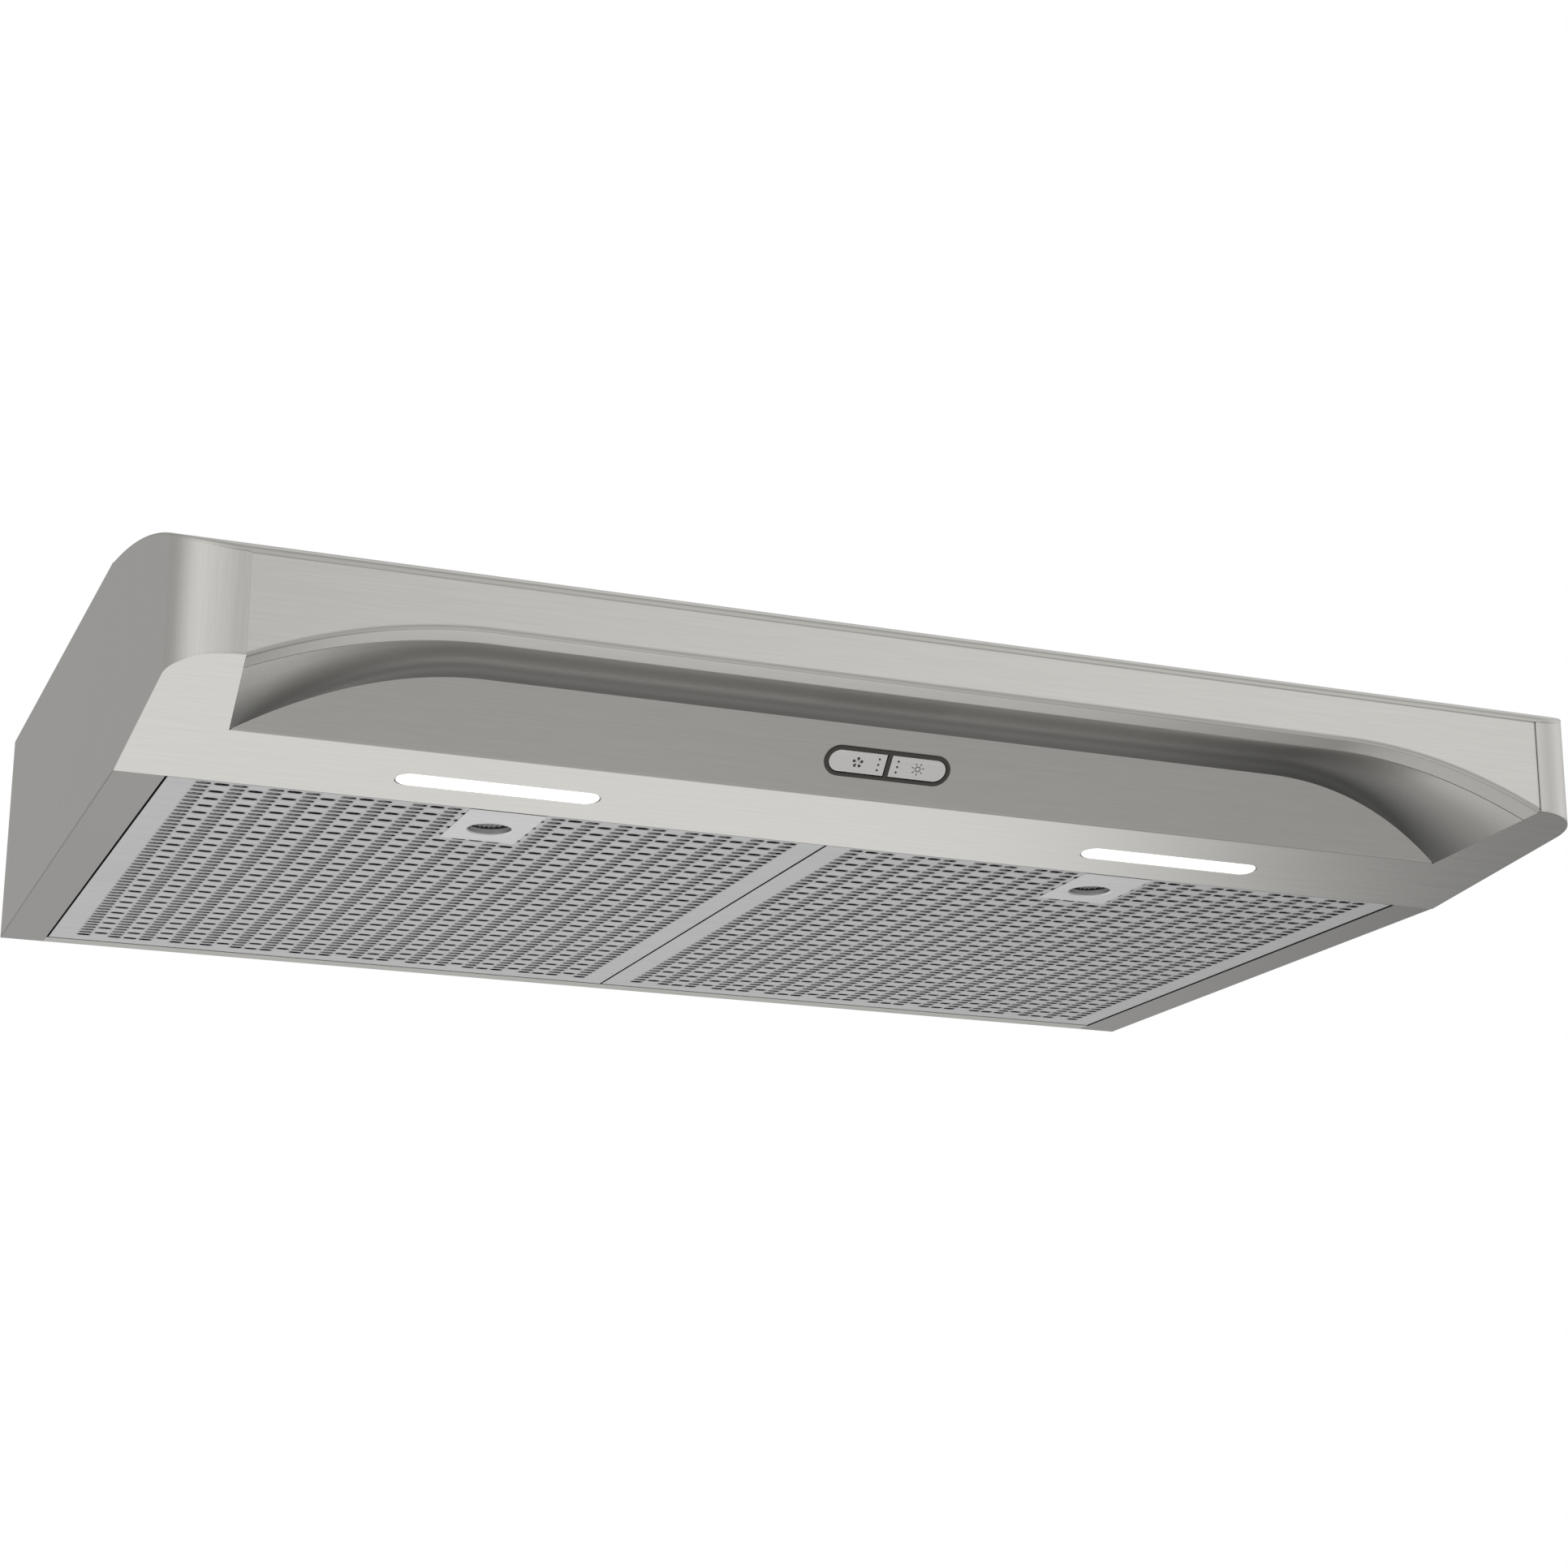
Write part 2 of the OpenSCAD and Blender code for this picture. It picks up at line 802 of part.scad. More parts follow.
module motor() {
    color("#6d7073")
        in_frame()
            translate([0, wheel_y, motor_z0])
                difference() {
                    cylinder(r = motor_r, h = motor_l, $fn = 72);
                    translate([0, 0, -1])
                        cylinder(d = shaft_d + 2 * shaft_gap, h = shaft_up + 2);
                }
}

module motor_shaft() {
    color("#c8cacc")
        in_frame()
            translate([0, wheel_y, dish_z - hub_h])
                cylinder(d = shaft_d, h = motor_z0 - dish_z + hub_h + shaft_up);
}

// A pan-head screw: the head stands on z = 0 and the shank points down.
module screw(shank_l) {
    cylinder(r = screw_head_r, h = screw_head_h);
    translate([0, 0, -shank_l])
        cylinder(d = screw_shank_d, h = shank_l);
}

module motor_capacitor() {
    color("#dcdcd8")
        in_frame()
            translate([cap_x, cap_y, hood_h - sheet - cap_d / 2 - sheet])
                rotate([90, 0, 0])
                    cylinder(d = cap_d, h = cap_l, center = true);
}

module capacitor_clamp() {
    outer = cap_d / 2 + sheet;
    color("#b9bab8")
        in_frame()
            translate([cap_x, cap_y, hood_h - sheet - outer])
                difference() {
                    union() {
                        rotate([90, 0, 0])
                            cylinder(r = outer, h = clamp_w, center = true);
                        translate([-outer - 10, -clamp_w / 2, outer - sheet])
                            cube([2 * outer + 20, clamp_w, sheet]);
                    }
                    rotate([90, 0, 0])
                        cylinder(d = cap_d, h = 2 * clamp_w, center = true);
                }
}

module outlet_plenum() {
    color("#a8a9a8")
        in_frame()
            difference() {
                translate([plenum_x0, plenum_y0, scroll_bottom])
                    cube([plenum_x1 - plenum_x0, plenum_y1 - plenum_y0, scroll_h]);
                translate([plenum_x0 + plenum_wall, plenum_y0 + plenum_wall,
                        scroll_bottom + plenum_wall])
                    cube([plenum_x1 - plenum_x0 - 2 * plenum_wall,
                        plenum_y1 - plenum_y0 - 2 * plenum_wall, scroll_h]);
                translate([tongue_x + sheet, plenum_y0 - 1, scroll_bottom + plenum_wall])
                    cube([scroll_r1 - tongue_x - 2 * sheet, plenum_wall + 2,
                        scroll_h - sheet - plenum_wall]);
            }
}

module duct_collar() {
    color("#b4b5b4")
        in_frame()
            difference() {
                translate([0, duct_y0 + duct_w / 2, hood_h]) {
                    translate([-duct_l / 2 - collar_flange, -duct_w / 2 - collar_flange, 0])
                        cube([duct_l + 2 * collar_flange, duct_w + 2 * collar_flange,
                            collar_wall]);
                    translate([-duct_l / 2, -duct_w / 2, 0])
                        cube([duct_l, duct_w, collar_h]);
                }
                translate([-duct_l / 2 + collar_wall, duct_y0 + collar_wall, hood_h - 1])
                    cube([duct_l - 2 * collar_wall, duct_w - 2 * collar_wall, collar_h + 2]);
                translate([0, pin_y, hood_h + flap_z])
                    rotate([0, 90, 0])
                        cylinder(d = pin_d + 2 * pin_gap, h = 2 * duct_l, center = true);
                at_collar_screws()
                    cylinder(d = screw_shank_d, h = 4 * collar_wall, center = true);
            }
}

module collar_screws() {
    color("#d5d6d6")
        in_frame()
            at_collar_screws()
                translate([0, 0, collar_wall])
                    screw(screw_shank_l);
}

module damper_flap() {
    color("#c3c4c3")
        in_frame()
            translate([0, pin_y, hood_h + flap_z])
                difference() {
                    union() {
                        translate([-flap_l / 2, 0, -flap_t / 2])
                            cube([flap_l, flap_y0 + flap_w - pin_y, flap_t]);
                        rotate([0, 90, 0])
                            cylinder(d = pin_d + 2, h = flap_l, center = true);
                    }
                    rotate([0, 90, 0])
                        cylinder(d = pin_d, h = 2 * flap_l, center = true);
                }
}

module damper_pin() {
    color("#8f9192")
        in_frame()
            translate([0, pin_y, hood_h + flap_z])
                rotate([0, 90, 0])
                    cylinder(d = pin_d, h = duct_l + 2, center = true);
}

module at_cover_screws() {
    for (x = [-1, 1])
        translate([box_x + x * (box_l / 2 - lug_w / 2 - sheet), box_y,
                hood_h - sheet - box_h])
            children();
}

module wiring_box() {
    color("#b4b5b4")
        in_frame()
            difference() {
                union() {
                    difference() {
                        translate([box_x - box_l / 2, box_y - box_w / 2,
                                hood_h - sheet - box_h])
                            cube([box_l, box_w, box_h]);
                        translate([box_x - box_l / 2 + sheet, box_y - box_w / 2 + sheet,
                                hood_h - 2 * sheet - box_h])
                            cube([box_l - 2 * sheet, box_w - 2 * sheet, box_h]);
                    }
                    at_cover_screws()
                        translate([-lug_w / 2, -lug_w / 2, 0])
                            cube([lug_w, lug_w, screw_shank_l]);
                }
                translate([entry_x, hood_d - entry_back, hood_h - 3 * sheet])
                    cylinder(d = entry_d, h = 3 * sheet);
                at_cover_screws()
                    cylinder(d = screw_shank_d, h = 3 * screw_shank_l, center = true);
            }
}

module wiring_box_cover() {
    color("#aaabaa")
        in_frame()
            difference() {
                translate([box_x - box_l / 2, box_y - box_w / 2, hood_h - 2 * sheet - box_h])
                    cube([box_l, box_w, sheet]);
                at_cover_screws()
                    cylinder(d = screw_shank_d, h = 4 * sheet, center = true);
            }
}

module wiring_cover_screws() {
    color("#d5d6d6")
        in_frame()
            at_cover_screws()
                translate([0, 0, -sheet])
                    mirror([0, 0, 1])
                        screw(screw_shank_l);
}

module terminal_block() {
    color("#e9e4d4")
        in_frame()
            translate([box_x - 40, box_y - 12, hood_h - 2 * sheet - 14])
                cube([34, 16, 14]);
}

module ground_screw() {
    color("#3f8f4f")
        in_frame()
            translate([box_x + 40, box_y - 22, hood_h - 2 * sheet])
                mirror([0, 0, 1])
                    cylinder(d = 8, h = 5);
}

// The filters, drawn for the right-hand side and mirrored for the left
module for_side(side) {
    in_frame()
        mirror([side > 0 ? 0 : 1, 0, 0])
            children();
}

module filter_block(inset, z, h) {
    translate([filter_x0 + inset, filter_y0 + inset, z])
        cube([filter_x1 - filter_x0 - 2 * inset, filter_l - 2 * inset, h]);
}

module latch_pocket(l, w, z, h) {
    translate([filter_mid - w / 2, filter_y0 - 1, z])
        cube([w, l + 1, h]);
}

module filter_face(side) {
    color("#c3c3c3")
        for_side(side)
            difference() {
                filter_block(0, 0, skin);
                latch_pocket(latch_d, latch_w, -1, skin + 2);
            }
}

// A channel round the filter: an upright wall and a flange over the mesh
module filter_frame(side) {
    color("#c9c9c8")
        for_side(side)
            difference() {
                filter_block(0, skin, filter_t - skin);
                filter_block(skin, 0, filter_t - skin);
                filter_block(border, 0, 2 * filter_t);
                latch_pocket(border, pocket_w, 0, latch_z + latch_t + latch_gap);
            }
}

// Layers of expanded mesh, held in the channel
module filter_mesh(side) {
    pitch = (filter_t - 2 * skin) / mesh_layers;
    color("#8f8f8f")
        for_side(side)
            difference() {
                for (i = [0:mesh_layers - 1])
                    filter_block(skin, skin + pitch * (i + 0.5) - mesh_layer_t / 2, mesh_layer_t);
                latch_pocket(pocket_l, pocket_w, 0, filter_t);
            }
}

module filter_back(side) {
    color("#bdbdbd")
        for_side(side)
            filter_block(border, filter_t - skin, skin);
}

module latch_plate(side) {
    color("#c6c6c6")
        for_side(side)
            difference() {
                translate([filter_mid - latch_w / 2, filter_y0, 0])
                    cube([latch_w, latch_d, skin]);
                translate([filter_mid, filter_y0 + finger_y, -1])
                    cylinder(d = finger_d, h = skin + 2);
            }
}

module latch(side) {
    color("#77787a")
        for_side(side) {
            translate([filter_mid - latch_pad_w / 2, filter_y0 + finger_y - latch_pad_l / 2,
                    latch_z])
                cube([latch_pad_w, latch_pad_l, latch_t]);
            translate([filter_mid - latch_tongue_w / 2, filter_y0 - latch_reach, latch_z])
                cube([latch_tongue_w, latch_reach + finger_y, latch_t]);
        }
}

module hinge_tabs(side) {
    color("#b9b9b9")
        for_side(side)
            for (x = [filter_x0 + tab_in, filter_x1 - tab_in])
                translate([x - tab_w / 2, filter_y1, tab_z])
                    cube([tab_w, tab_l, tab_t]);
}

module left_filter_face() {
    filter_face(-1);
}

module right_filter_face() {
    filter_face(1);
}

module left_filter_frame() {
    filter_frame(-1);
}

module right_filter_frame() {
    filter_frame(1);
}

module left_filter_mesh() {
    filter_mesh(-1);
}

module right_filter_mesh() {
    filter_mesh(1);
}

module left_filter_back() {
    filter_back(-1);
}

module right_filter_back() {
    filter_back(1);
}

module left_latch_plate() {
    latch_plate(-1);
}

module right_latch_plate() {
    latch_plate(1);
}

module left_latch() {
    latch(-1);
}

module right_latch() {
    latch(1);
}

module left_hinge_tabs() {
    hinge_tabs(-1);
}

module right_hinge_tabs() {
    hinge_tabs(1);
}

left_side_panel();
right_side_panel();
top_panel();
visor_cover();
back_panel();
front_face_panel();
scoop_liner();
control_panel();
light_band();
front_cross_member();
rear_cross_member();
key_surround();
fan_key();
light_key();
control_board();
control_switches();
control_standoffs();
left_light_lens();
right_light_lens();
left_light_board();
right_light_board();
left_light_tray();
right_light_tray();
light_driver();
blower_housing();
inlet_plate();
blower_wheel();
motor();
motor_shaft();
motor_capacitor();
capacitor_clamp();
outlet_plenum();
duct_collar();
damper_flap();
damper_pin();
wiring_box();
wiring_box_cover();
terminal_block();
ground_screw();
left_filter_face();
left_filter_frame();
left_filter_mesh();
left_filter_back();
left_latch_plate();
left_latch();
right_filter_face();
right_filter_frame();
right_filter_mesh();
right_filter_back();
right_latch_plate();
right_latch();
left_hinge_tabs();
right_hinge_tabs();
collar_screws();
wiring_cover_screws();
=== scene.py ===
import json
import math

import bmesh
import bpy
from mathutils import Matrix, Vector

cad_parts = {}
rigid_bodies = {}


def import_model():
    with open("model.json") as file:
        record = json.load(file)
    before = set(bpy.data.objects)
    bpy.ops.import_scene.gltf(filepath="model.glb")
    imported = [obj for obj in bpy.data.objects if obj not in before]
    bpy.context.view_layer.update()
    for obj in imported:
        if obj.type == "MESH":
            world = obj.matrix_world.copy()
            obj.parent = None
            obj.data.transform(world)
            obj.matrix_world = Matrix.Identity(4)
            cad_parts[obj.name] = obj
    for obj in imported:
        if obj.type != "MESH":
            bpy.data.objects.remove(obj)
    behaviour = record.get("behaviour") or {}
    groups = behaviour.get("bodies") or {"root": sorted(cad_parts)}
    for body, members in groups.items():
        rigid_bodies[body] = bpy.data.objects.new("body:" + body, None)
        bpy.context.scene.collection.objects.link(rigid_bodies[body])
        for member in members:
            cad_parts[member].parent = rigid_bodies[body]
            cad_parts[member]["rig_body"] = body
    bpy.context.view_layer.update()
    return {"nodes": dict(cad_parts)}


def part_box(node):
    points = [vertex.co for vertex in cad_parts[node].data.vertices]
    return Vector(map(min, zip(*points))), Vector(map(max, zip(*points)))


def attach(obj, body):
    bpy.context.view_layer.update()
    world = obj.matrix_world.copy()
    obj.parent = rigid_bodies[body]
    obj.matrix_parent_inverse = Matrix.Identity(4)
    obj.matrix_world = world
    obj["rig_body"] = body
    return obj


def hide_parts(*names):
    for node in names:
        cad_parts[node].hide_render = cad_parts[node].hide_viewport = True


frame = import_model()
visorLow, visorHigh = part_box("visor_cover")
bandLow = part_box("light_band")[0]
print("frame loaded:", len(frame["nodes"]), "pieces")


def arithmetic(operation):
    return lambda self, other: self.math(operation, self, other)


class Signal:
    # a node's output that can be used in ordinary sums
    def __init__(self, tree, socket):
        self.tree = tree
        self.socket = socket

    def math(self, operation, first, second=0.0):
        return self.tree.out(self.tree.add("ShaderNodeMath", {"operation": operation}, {0: first, 1: second}))

    __add__ = __radd__ = arithmetic("ADD")
    __sub__ = arithmetic("SUBTRACT")
    __mul__ = __rmul__ = arithmetic("MULTIPLY")
    __truediv__ = arithmetic("DIVIDE")
    __pow__ = arithmetic("POWER")
    __lt__ = arithmetic("LESS_THAN")
    atLeast = arithmetic("MAXIMUM")
    remainder = arithmetic("FLOORED_MODULO")

    def __rsub__(self, other):
        return self.math("SUBTRACT", other, self)

    def size(self):
        return self.math("ABSOLUTE", self)

    def rounded(self):
        return self.math("ROUND", self)

    def between(self, low, high):
        # 0 below low, 1 above high, smooth in between
        node = self.tree.add("ShaderNodeMapRange", {"interpolation_type": "SMOOTHSTEP"},
                             {"Value": self, "From Min": low, "From Max": high})
        return self.tree.out(node)


class Tree:
    # one node tree, of a material, a world or a geometry modifier
    def __init__(self, nodeTree):
        self.nodeTree = nodeTree

    def add(self, kind, settings=None, sockets=None):
        node = self.nodeTree.nodes.new(kind)
        for key, value in (settings or {}).items():
            setattr(node, key, value)
        for key, value in (sockets or {}).items():
            if isinstance(value, Signal):
                self.nodeTree.links.new(value.socket, node.inputs[key])
            else:
                node.inputs[key].default_value = value
        return node

    def out(self, node, name=0):
        return Signal(self, node.outputs[name])

    def mix(self, factor, first, second):
        # colours only
        sockets = {0: factor, 6: asColour(first), 7: asColour(second)}
        return self.out(self.add("ShaderNodeMix", {"data_type": "RGBA"}, sockets), 2)

    def noise(self, place, scale, detail=3.0, rough=0.5):
        sockets = {"Vector": place, "Scale": scale, "Detail": detail, "Roughness": rough}
        return self.out(self.add("ShaderNodeTexNoise", None, sockets))


def asColour(value):
    return value if isinstance(value, Signal) else (*value, 1)


def scaled(colour, factor):
    # the colour made lighter or darker
    return tuple(min(1.0, c * factor) for c in colour)


slotNames = {
    "band steel": "front_steel", "panel steel": "front_steel", "cove steel": "front_steel",
    "galvanised sheet": "galvanised_steel", "light lens": "lens", "light bezel": "white_plastic",
    "latch plate": "filter_face",
}


class Finish(Tree):
    # a material that reads Object coordinates
    def __init__(self, name):
        self.material = bpy.data.materials.new(name)
        self.material.use_nodes = True
        self.slotName = slotNames.get(name, name.replace(" ", "_"))
        super().__init__(self.material.node_tree)
        self.nodeTree.nodes.clear()
        self.place = self.out(self.add("ShaderNodeTexCoord"), "Object")

    def stretched(self, scale):
        node = self.add("ShaderNodeMapping", None, {"Vector": self.place, "Scale": scale})
        return self.out(node)

    def axes(self):
        node = self.add("ShaderNodeSeparateXYZ", None, {0: self.place})
        return [self.out(node, k) for k in range(3)]

    def toned(self, factor, colour, dark, light):
        return self.mix(factor, scaled(colour, dark), scaled(colour, light))

    def dimmed(self, tone, shade):
        # painted light and shade: the tone is mixed towards black by the shade factor
        return self.mix(shade(self), (0, 0, 0), tone) if shade else tone

    def bump(self, height, strength, distance):
        sockets = {"Height": height, "Strength": strength, "Distance": distance}
        return self.out(self.add("ShaderNodeBump", None, sockets))

    def done(self, **sockets):
        named = {key.replace("_", " "): value for key, value in sockets.items()}
        shader = self.add("ShaderNodeBsdfPrincipled", None, named)
        output = self.add("ShaderNodeOutputMaterial")
        self.nodeTree.links.new(shader.outputs[0], output.inputs[0])
        return self


brushing = {
    "hairs": (1500.0, 26.0, 0.6),     # scale across the grain, scale along it, roughness of the noise
    "bands": (420.0, 9.0, 0.55),
    "clouds": 7.0,
    "strength": 0.05,
    "depth": 0.0004,
}


def brushedSteel(name, colour, grain, roughness=0.32, shade=None):
    # grain is the axis that the brush marks run along: long marks one way, hair-fine the others
    finish = Finish(name)

    def drawn(across, along, rough):
        scale = [across] * 3
        scale["xyz".index(grain)] = along
        return finish.noise(finish.stretched(scale), 1.0, 3.0, rough)

    hairs, bands = drawn(*brushing["hairs"]), drawn(*brushing["bands"])
    clouds = finish.noise(finish.place, brushing["clouds"], 2.0)
    marks = (hairs * 0.6 + bands * 0.25 + clouds * 0.15).between(0.3, 0.7)
    tone = finish.dimmed(finish.toned(marks, colour, 0.955, 1.045), shade)
    rough = roughness + (bands - 0.5) * 0.06 + (clouds - 0.5) * 0.03
    return finish.done(Base_Color=tone, Metallic=1.0, Roughness=rough,
                       Normal=finish.bump(hairs, brushing["strength"], brushing["depth"]))


def coveShade(finish):
    # painted shade: the cove is painted darker towards its valley, and all over at its right end
    rise = finish.out(finish.add("ShaderNodeAttribute", {"attribute_name": "rise"}), "Fac")
    across = finish.axes()[0]
    deepening = 1.45 - rise.between(0.0, 0.35) * 0.40 - rise.between(0.15, 0.9) * 0.71
    return deepening * (1.0 - across.between(0.10, 0.27) * 0.52)


def stripShade(finish):
    # painted shade: the strip under the front face is painted a little darker than the face, more so towards
    # the right
    across, deep = finish.axes()[:2]
    under = (deep - visorLow.y).between(0.0012, 0.0040)
    return 1.0 - under * (across.between(0.05, 0.27) * 0.14 + 0.18)


def landShade(finish):
    # painted shade: the narrow lands between slots are painted darker than the solid parts
    land = finish.out(finish.add("ShaderNodeAttribute", {"attribute_name": "land"}), "Fac")
    return 1.0 - land * 0.12


def hemPaintedHighlight(finish):
    # painted highlight: the chamfer under the hem is painted brighter along the front
    deep, up = finish.axes()[1:]
    low = (up - (visorLow.z + 0.0005)).size() < 0.0007
    return low * (deep < visorLow.y + 0.0015) * 0.6 + 1.0


def flangeShade(finish):
    # painted shade: the turned-in flange is painted darker than the side above it
    up = finish.axes()[2]
    return up.between(bandLow.z + 0.0002, bandLow.z + 0.0014) * 0.42 + 0.58


def galvanised(name, colour):
    finish = Finish(name)
    cells = finish.add("ShaderNodeTexVoronoi", {"feature": "SMOOTH_F1"},
                       {"Vector": finish.place, "Scale": 95.0, "Smoothness": 0.35})
    shades = finish.add("ShaderNodeSeparateColor", None, {0: finish.out(cells, "Color")})
    spangle = finish.out(shades, 0)
    dull = finish.noise(finish.place, 22.0, 5.0)
    tone = finish.toned(spangle, colour, 0.84, 1.08)
    return finish.done(Base_Color=tone, Metallic=1.0, Roughness=0.40 + spangle * 0.12 + dull * 0.08,
                       Normal=finish.bump(dull, 0.05, 0.001))


def plainMetal(name, colour, roughness, shade=None):
    # bare or plated metal with a faint rolled texture
    finish = Finish(name)
    rolled = finish.noise(finish.stretched((14.0, 700.0, 700.0)), 1.0, 3.0)
    stains = finish.noise(finish.place, 14.0, 4.0)
    worn = (rolled * 0.5 + stains * 0.5).between(0.3, 0.7)
    tone = finish.dimmed(finish.toned(worn, colour, 0.93, 1.05), shade)
    return finish.done(Base_Color=tone, Metallic=1.0, Roughness=roughness + (stains - 0.5) * 0.14,
                       Normal=finish.bump(rolled, 0.05, 0.0003))


def mouldedPlastic(name, colour, roughness):
    finish = Finish(name)
    pores = finish.noise(finish.place, 1600.0, 2.0)
    blotch = finish.noise(finish.place, 30.0, 3.0)
    tone = finish.toned(blotch, colour, 0.93, 1.07)
    return finish.done(Base_Color=tone, Roughness=roughness + (blotch - 0.5) * 0.1,
                       Normal=finish.bump(pores, 0.12, 0.0004))


def expandedMesh(name, colour):
    # diamond strands of expanded metal; the openings between them are painted dark, as painted shade of the
    # inside seen through them
    finish = Finish(name)
    across, deep = finish.axes()[:2]
    pitch = 0.0052
    wobble = finish.noise(finish.place, 160.0, 2.0) * 0.0012

    def strands(lean):
        step = ((across + deep * lean + wobble) / pitch).remainder(1.0)
        return (step - 0.5).size().between(0.20, 0.34)

    strand = strands(1.7).atLeast(strands(-1.7))
    tone = finish.toned(strand, colour, 0.30, 1.1)
    return finish.done(Base_Color=tone, Metallic=strand * 0.8, Roughness=0.62 - strand * 0.2,
                       Normal=finish.bump(strand, 0.6, 0.0008))


def circuitBoard(name, colour, trackColour):
    finish = Finish(name)
    across = finish.axes()[0]
    weave = finish.noise(finish.stretched((900.0, 60.0, 60.0)), 1.0, 2.0)
    line = ((across / 0.0045).remainder(1.0) - 0.5).size().between(0.40, 0.43)
    breaks = finish.noise(finish.stretched((220.0, 90.0, 90.0)), 1.0, 1.0).between(0.48, 0.5)
    tone = finish.mix(line * breaks, colour, trackColour)
    return finish.done(Base_Color=tone, Roughness=0.36 + weave * 0.1, Coat_Weight=0.3,
                       Normal=finish.bump(line * breaks, 0.15, 0.0003))


def litLens(name, colour, glow):
    # frosted cover, lit from behind
    finish = Finish(name)
    frost = finish.noise(finish.place, 900.0, 3.0)
    tone = finish.toned(frost, colour, 0.97, 1.0)
    return finish.done(Base_Color=tone, Roughness=0.45 + frost * 0.1, Emission_Color=tone,
                       Emission_Strength=glow, Normal=finish.bump(frost, 0.05, 0.0003))


def paintedMetal(name, colour, roughness):
    finish = Finish(name)
    peel = finish.noise(finish.place, 420.0, 2.0)
    dust = finish.noise(finish.place, 18.0, 4.0)
    tone = finish.toned(dust, colour, 0.85, 1.15)
    return finish.done(Base_Color=tone, Metallic=0.25, Roughness=roughness + (dust - 0.5) * 0.15,
                       Normal=finish.bump(peel, 0.10, 0.0008), Coat_Weight=0.2)


steelTones = {
    "side": (0.64, 0.627, 0.60),
    "shell": (0.60, 0.59, 0.56),
    "front": (0.66, 0.65, 0.62),
    # the control panel's steel is painted darker than the front's, as painted shade
    "panel": (0.54, 0.53, 0.508),
}
sideSteel = brushedSteel("side steel", steelTones["side"], "z", 0.32, flangeShade)
shellSteel = brushedSteel("shell steel", steelTones["shell"], "x", 0.32, hemPaintedHighlight)
frontSteel = brushedSteel("front steel", steelTones["front"], "x", 0.32, stripShade)
bandSteel = brushedSteel("band steel", steelTones["front"], "x", 0.22)
panelSteel = brushedSteel("panel steel", steelTones["panel"], "x", 0.36)
coveSteel = brushedSteel("cove steel", steelTones["front"], "x", 0.36, coveShade)
zincSheet = galvanised("galvanised sheet", (0.66, 0.67, 0.68))
rimPlastic = mouldedPlastic("key rim", (0.06, 0.05, 0.045), 0.45)
capPlastic = plainMetal("key cap", (0.86, 0.84, 0.825), 0.4)
boardMask = circuitBoard("circuit board", (0.03, 0.16, 0.08), (0.10, 0.32, 0.17))
blackPlastic = mouldedPlastic("black plastic", (0.03, 0.03, 0.034), 0.45)
lensFrost = litLens("light lens", (1.0, 1.0, 0.985), 1.15)
lightBoard = circuitBoard("light board", (0.82, 0.81, 0.75), (0.62, 0.60, 0.52))
whitePlastic = mouldedPlastic("white plastic", (0.80, 0.80, 0.76), 0.42)
bezelPlastic = mouldedPlastic("light bezel", (0.46, 0.455, 0.44), 0.35)
motorPaint = paintedMetal("motor paint", (0.19, 0.20, 0.21), 0.42)
brightSteel = plainMetal("bright steel", (0.74, 0.75, 0.76), 0.24)
groundGreen = paintedMetal("ground green", (0.05, 0.33, 0.12), 0.35)
filterMetal = plainMetal("filter face", (0.70, 0.70, 0.705), 0.46, landShade)
# the latch plate's metal is painted lighter than the filter face's, as painted light
plateMetal = plainMetal("latch plate", (0.84, 0.84, 0.845), 0.42)
frameMetal = plainMetal("filter frame", (0.62, 0.62, 0.62), 0.42)
meshMetal = expandedMesh("filter mesh", (0.27, 0.27, 0.27))
latchMetal = plainMetal("latch", (0.46, 0.46, 0.465), 0.5)
print("finishes made")

finishedNodes = (
    (shellSteel, "top_panel back_panel"),
    (zincSheet, "front_cross_member rear_cross_member blower_housing inlet_plate outlet_plenum duct_collar"),
    (zincSheet, "damper_flap wiring_box wiring_box_cover capacitor_clamp"),
    (boardMask, "control_board"),
    (lightBoard, "left_light_board right_light_board"),
    (blackPlastic, "control_switches blower_wheel"),
    (whitePlastic, "control_standoffs left_light_tray right_light_tray light_driver"),
    (whitePlastic, "motor_capacitor terminal_block"),
    (motorPaint, "motor"),
    (groundGreen, "ground_screw"),
    (brightSteel, "motor_shaft damper_pin collar_screws wiring_cover_screws"),
    (meshMetal, "left_filter_mesh right_filter_mesh"),
    (frameMetal, "left_filter_frame right_filter_frame left_filter_back right_filter_back"),
    (frameMetal, "left_hinge_tabs right_hinge_tabs"),
)
nodeFinishes = {nodeName: finish for finish, names in finishedNodes for nodeName in names.split()}
for nodeName, finish in nodeFinishes.items():
    nodeMesh = frame["nodes"][nodeName].data
    nodeMesh.materials.clear()
    nodeMesh.materials.append(finish.material)
print("finishes on", len(nodeFinishes), "pieces")


# Shapes are drawn in metres with x centred, y from the front face and z from the underside
corner = Vector((0, visorLow.y, bandLow.z))
mergeReach = 2e-6
looseReach = 1e-5


def reworked(mesh, *steps):
    # the mesh after each step has been done to it
    work = bmesh.new()
    work.from_mesh(mesh)
    for step in steps:
        step(work)
    work.to_mesh(mesh)
    work.free()
    return mesh


def weld(work, reach=mergeReach):
    bmesh.ops.remove_doubles(work, verts=work.verts, dist=reach)


def squareUp(work):
    # turns the faces outwards
    bmesh.ops.recalc_face_normals(work, faces=work.faces)


def clearFlats(angle):
    # clears the edges that lie inside flat faces
    def step(work):
        weld(work, looseReach)
        bmesh.ops.dissolve_limit(work, angle_limit=math.radians(angle), verts=work.verts, edges=work.edges)
    return step


def placed(name, data):
    item = bpy.data.objects.new(name, data)
    bpy.context.scene.collection.objects.link(item)
    return item


def plainMesh(item):
    # the item's shape with its modifiers applied
    depsgraph = bpy.context.evaluated_depsgraph_get()
    return bpy.data.meshes.new_from_object(item.evaluated_get(depsgraph), depsgraph=depsgraph)


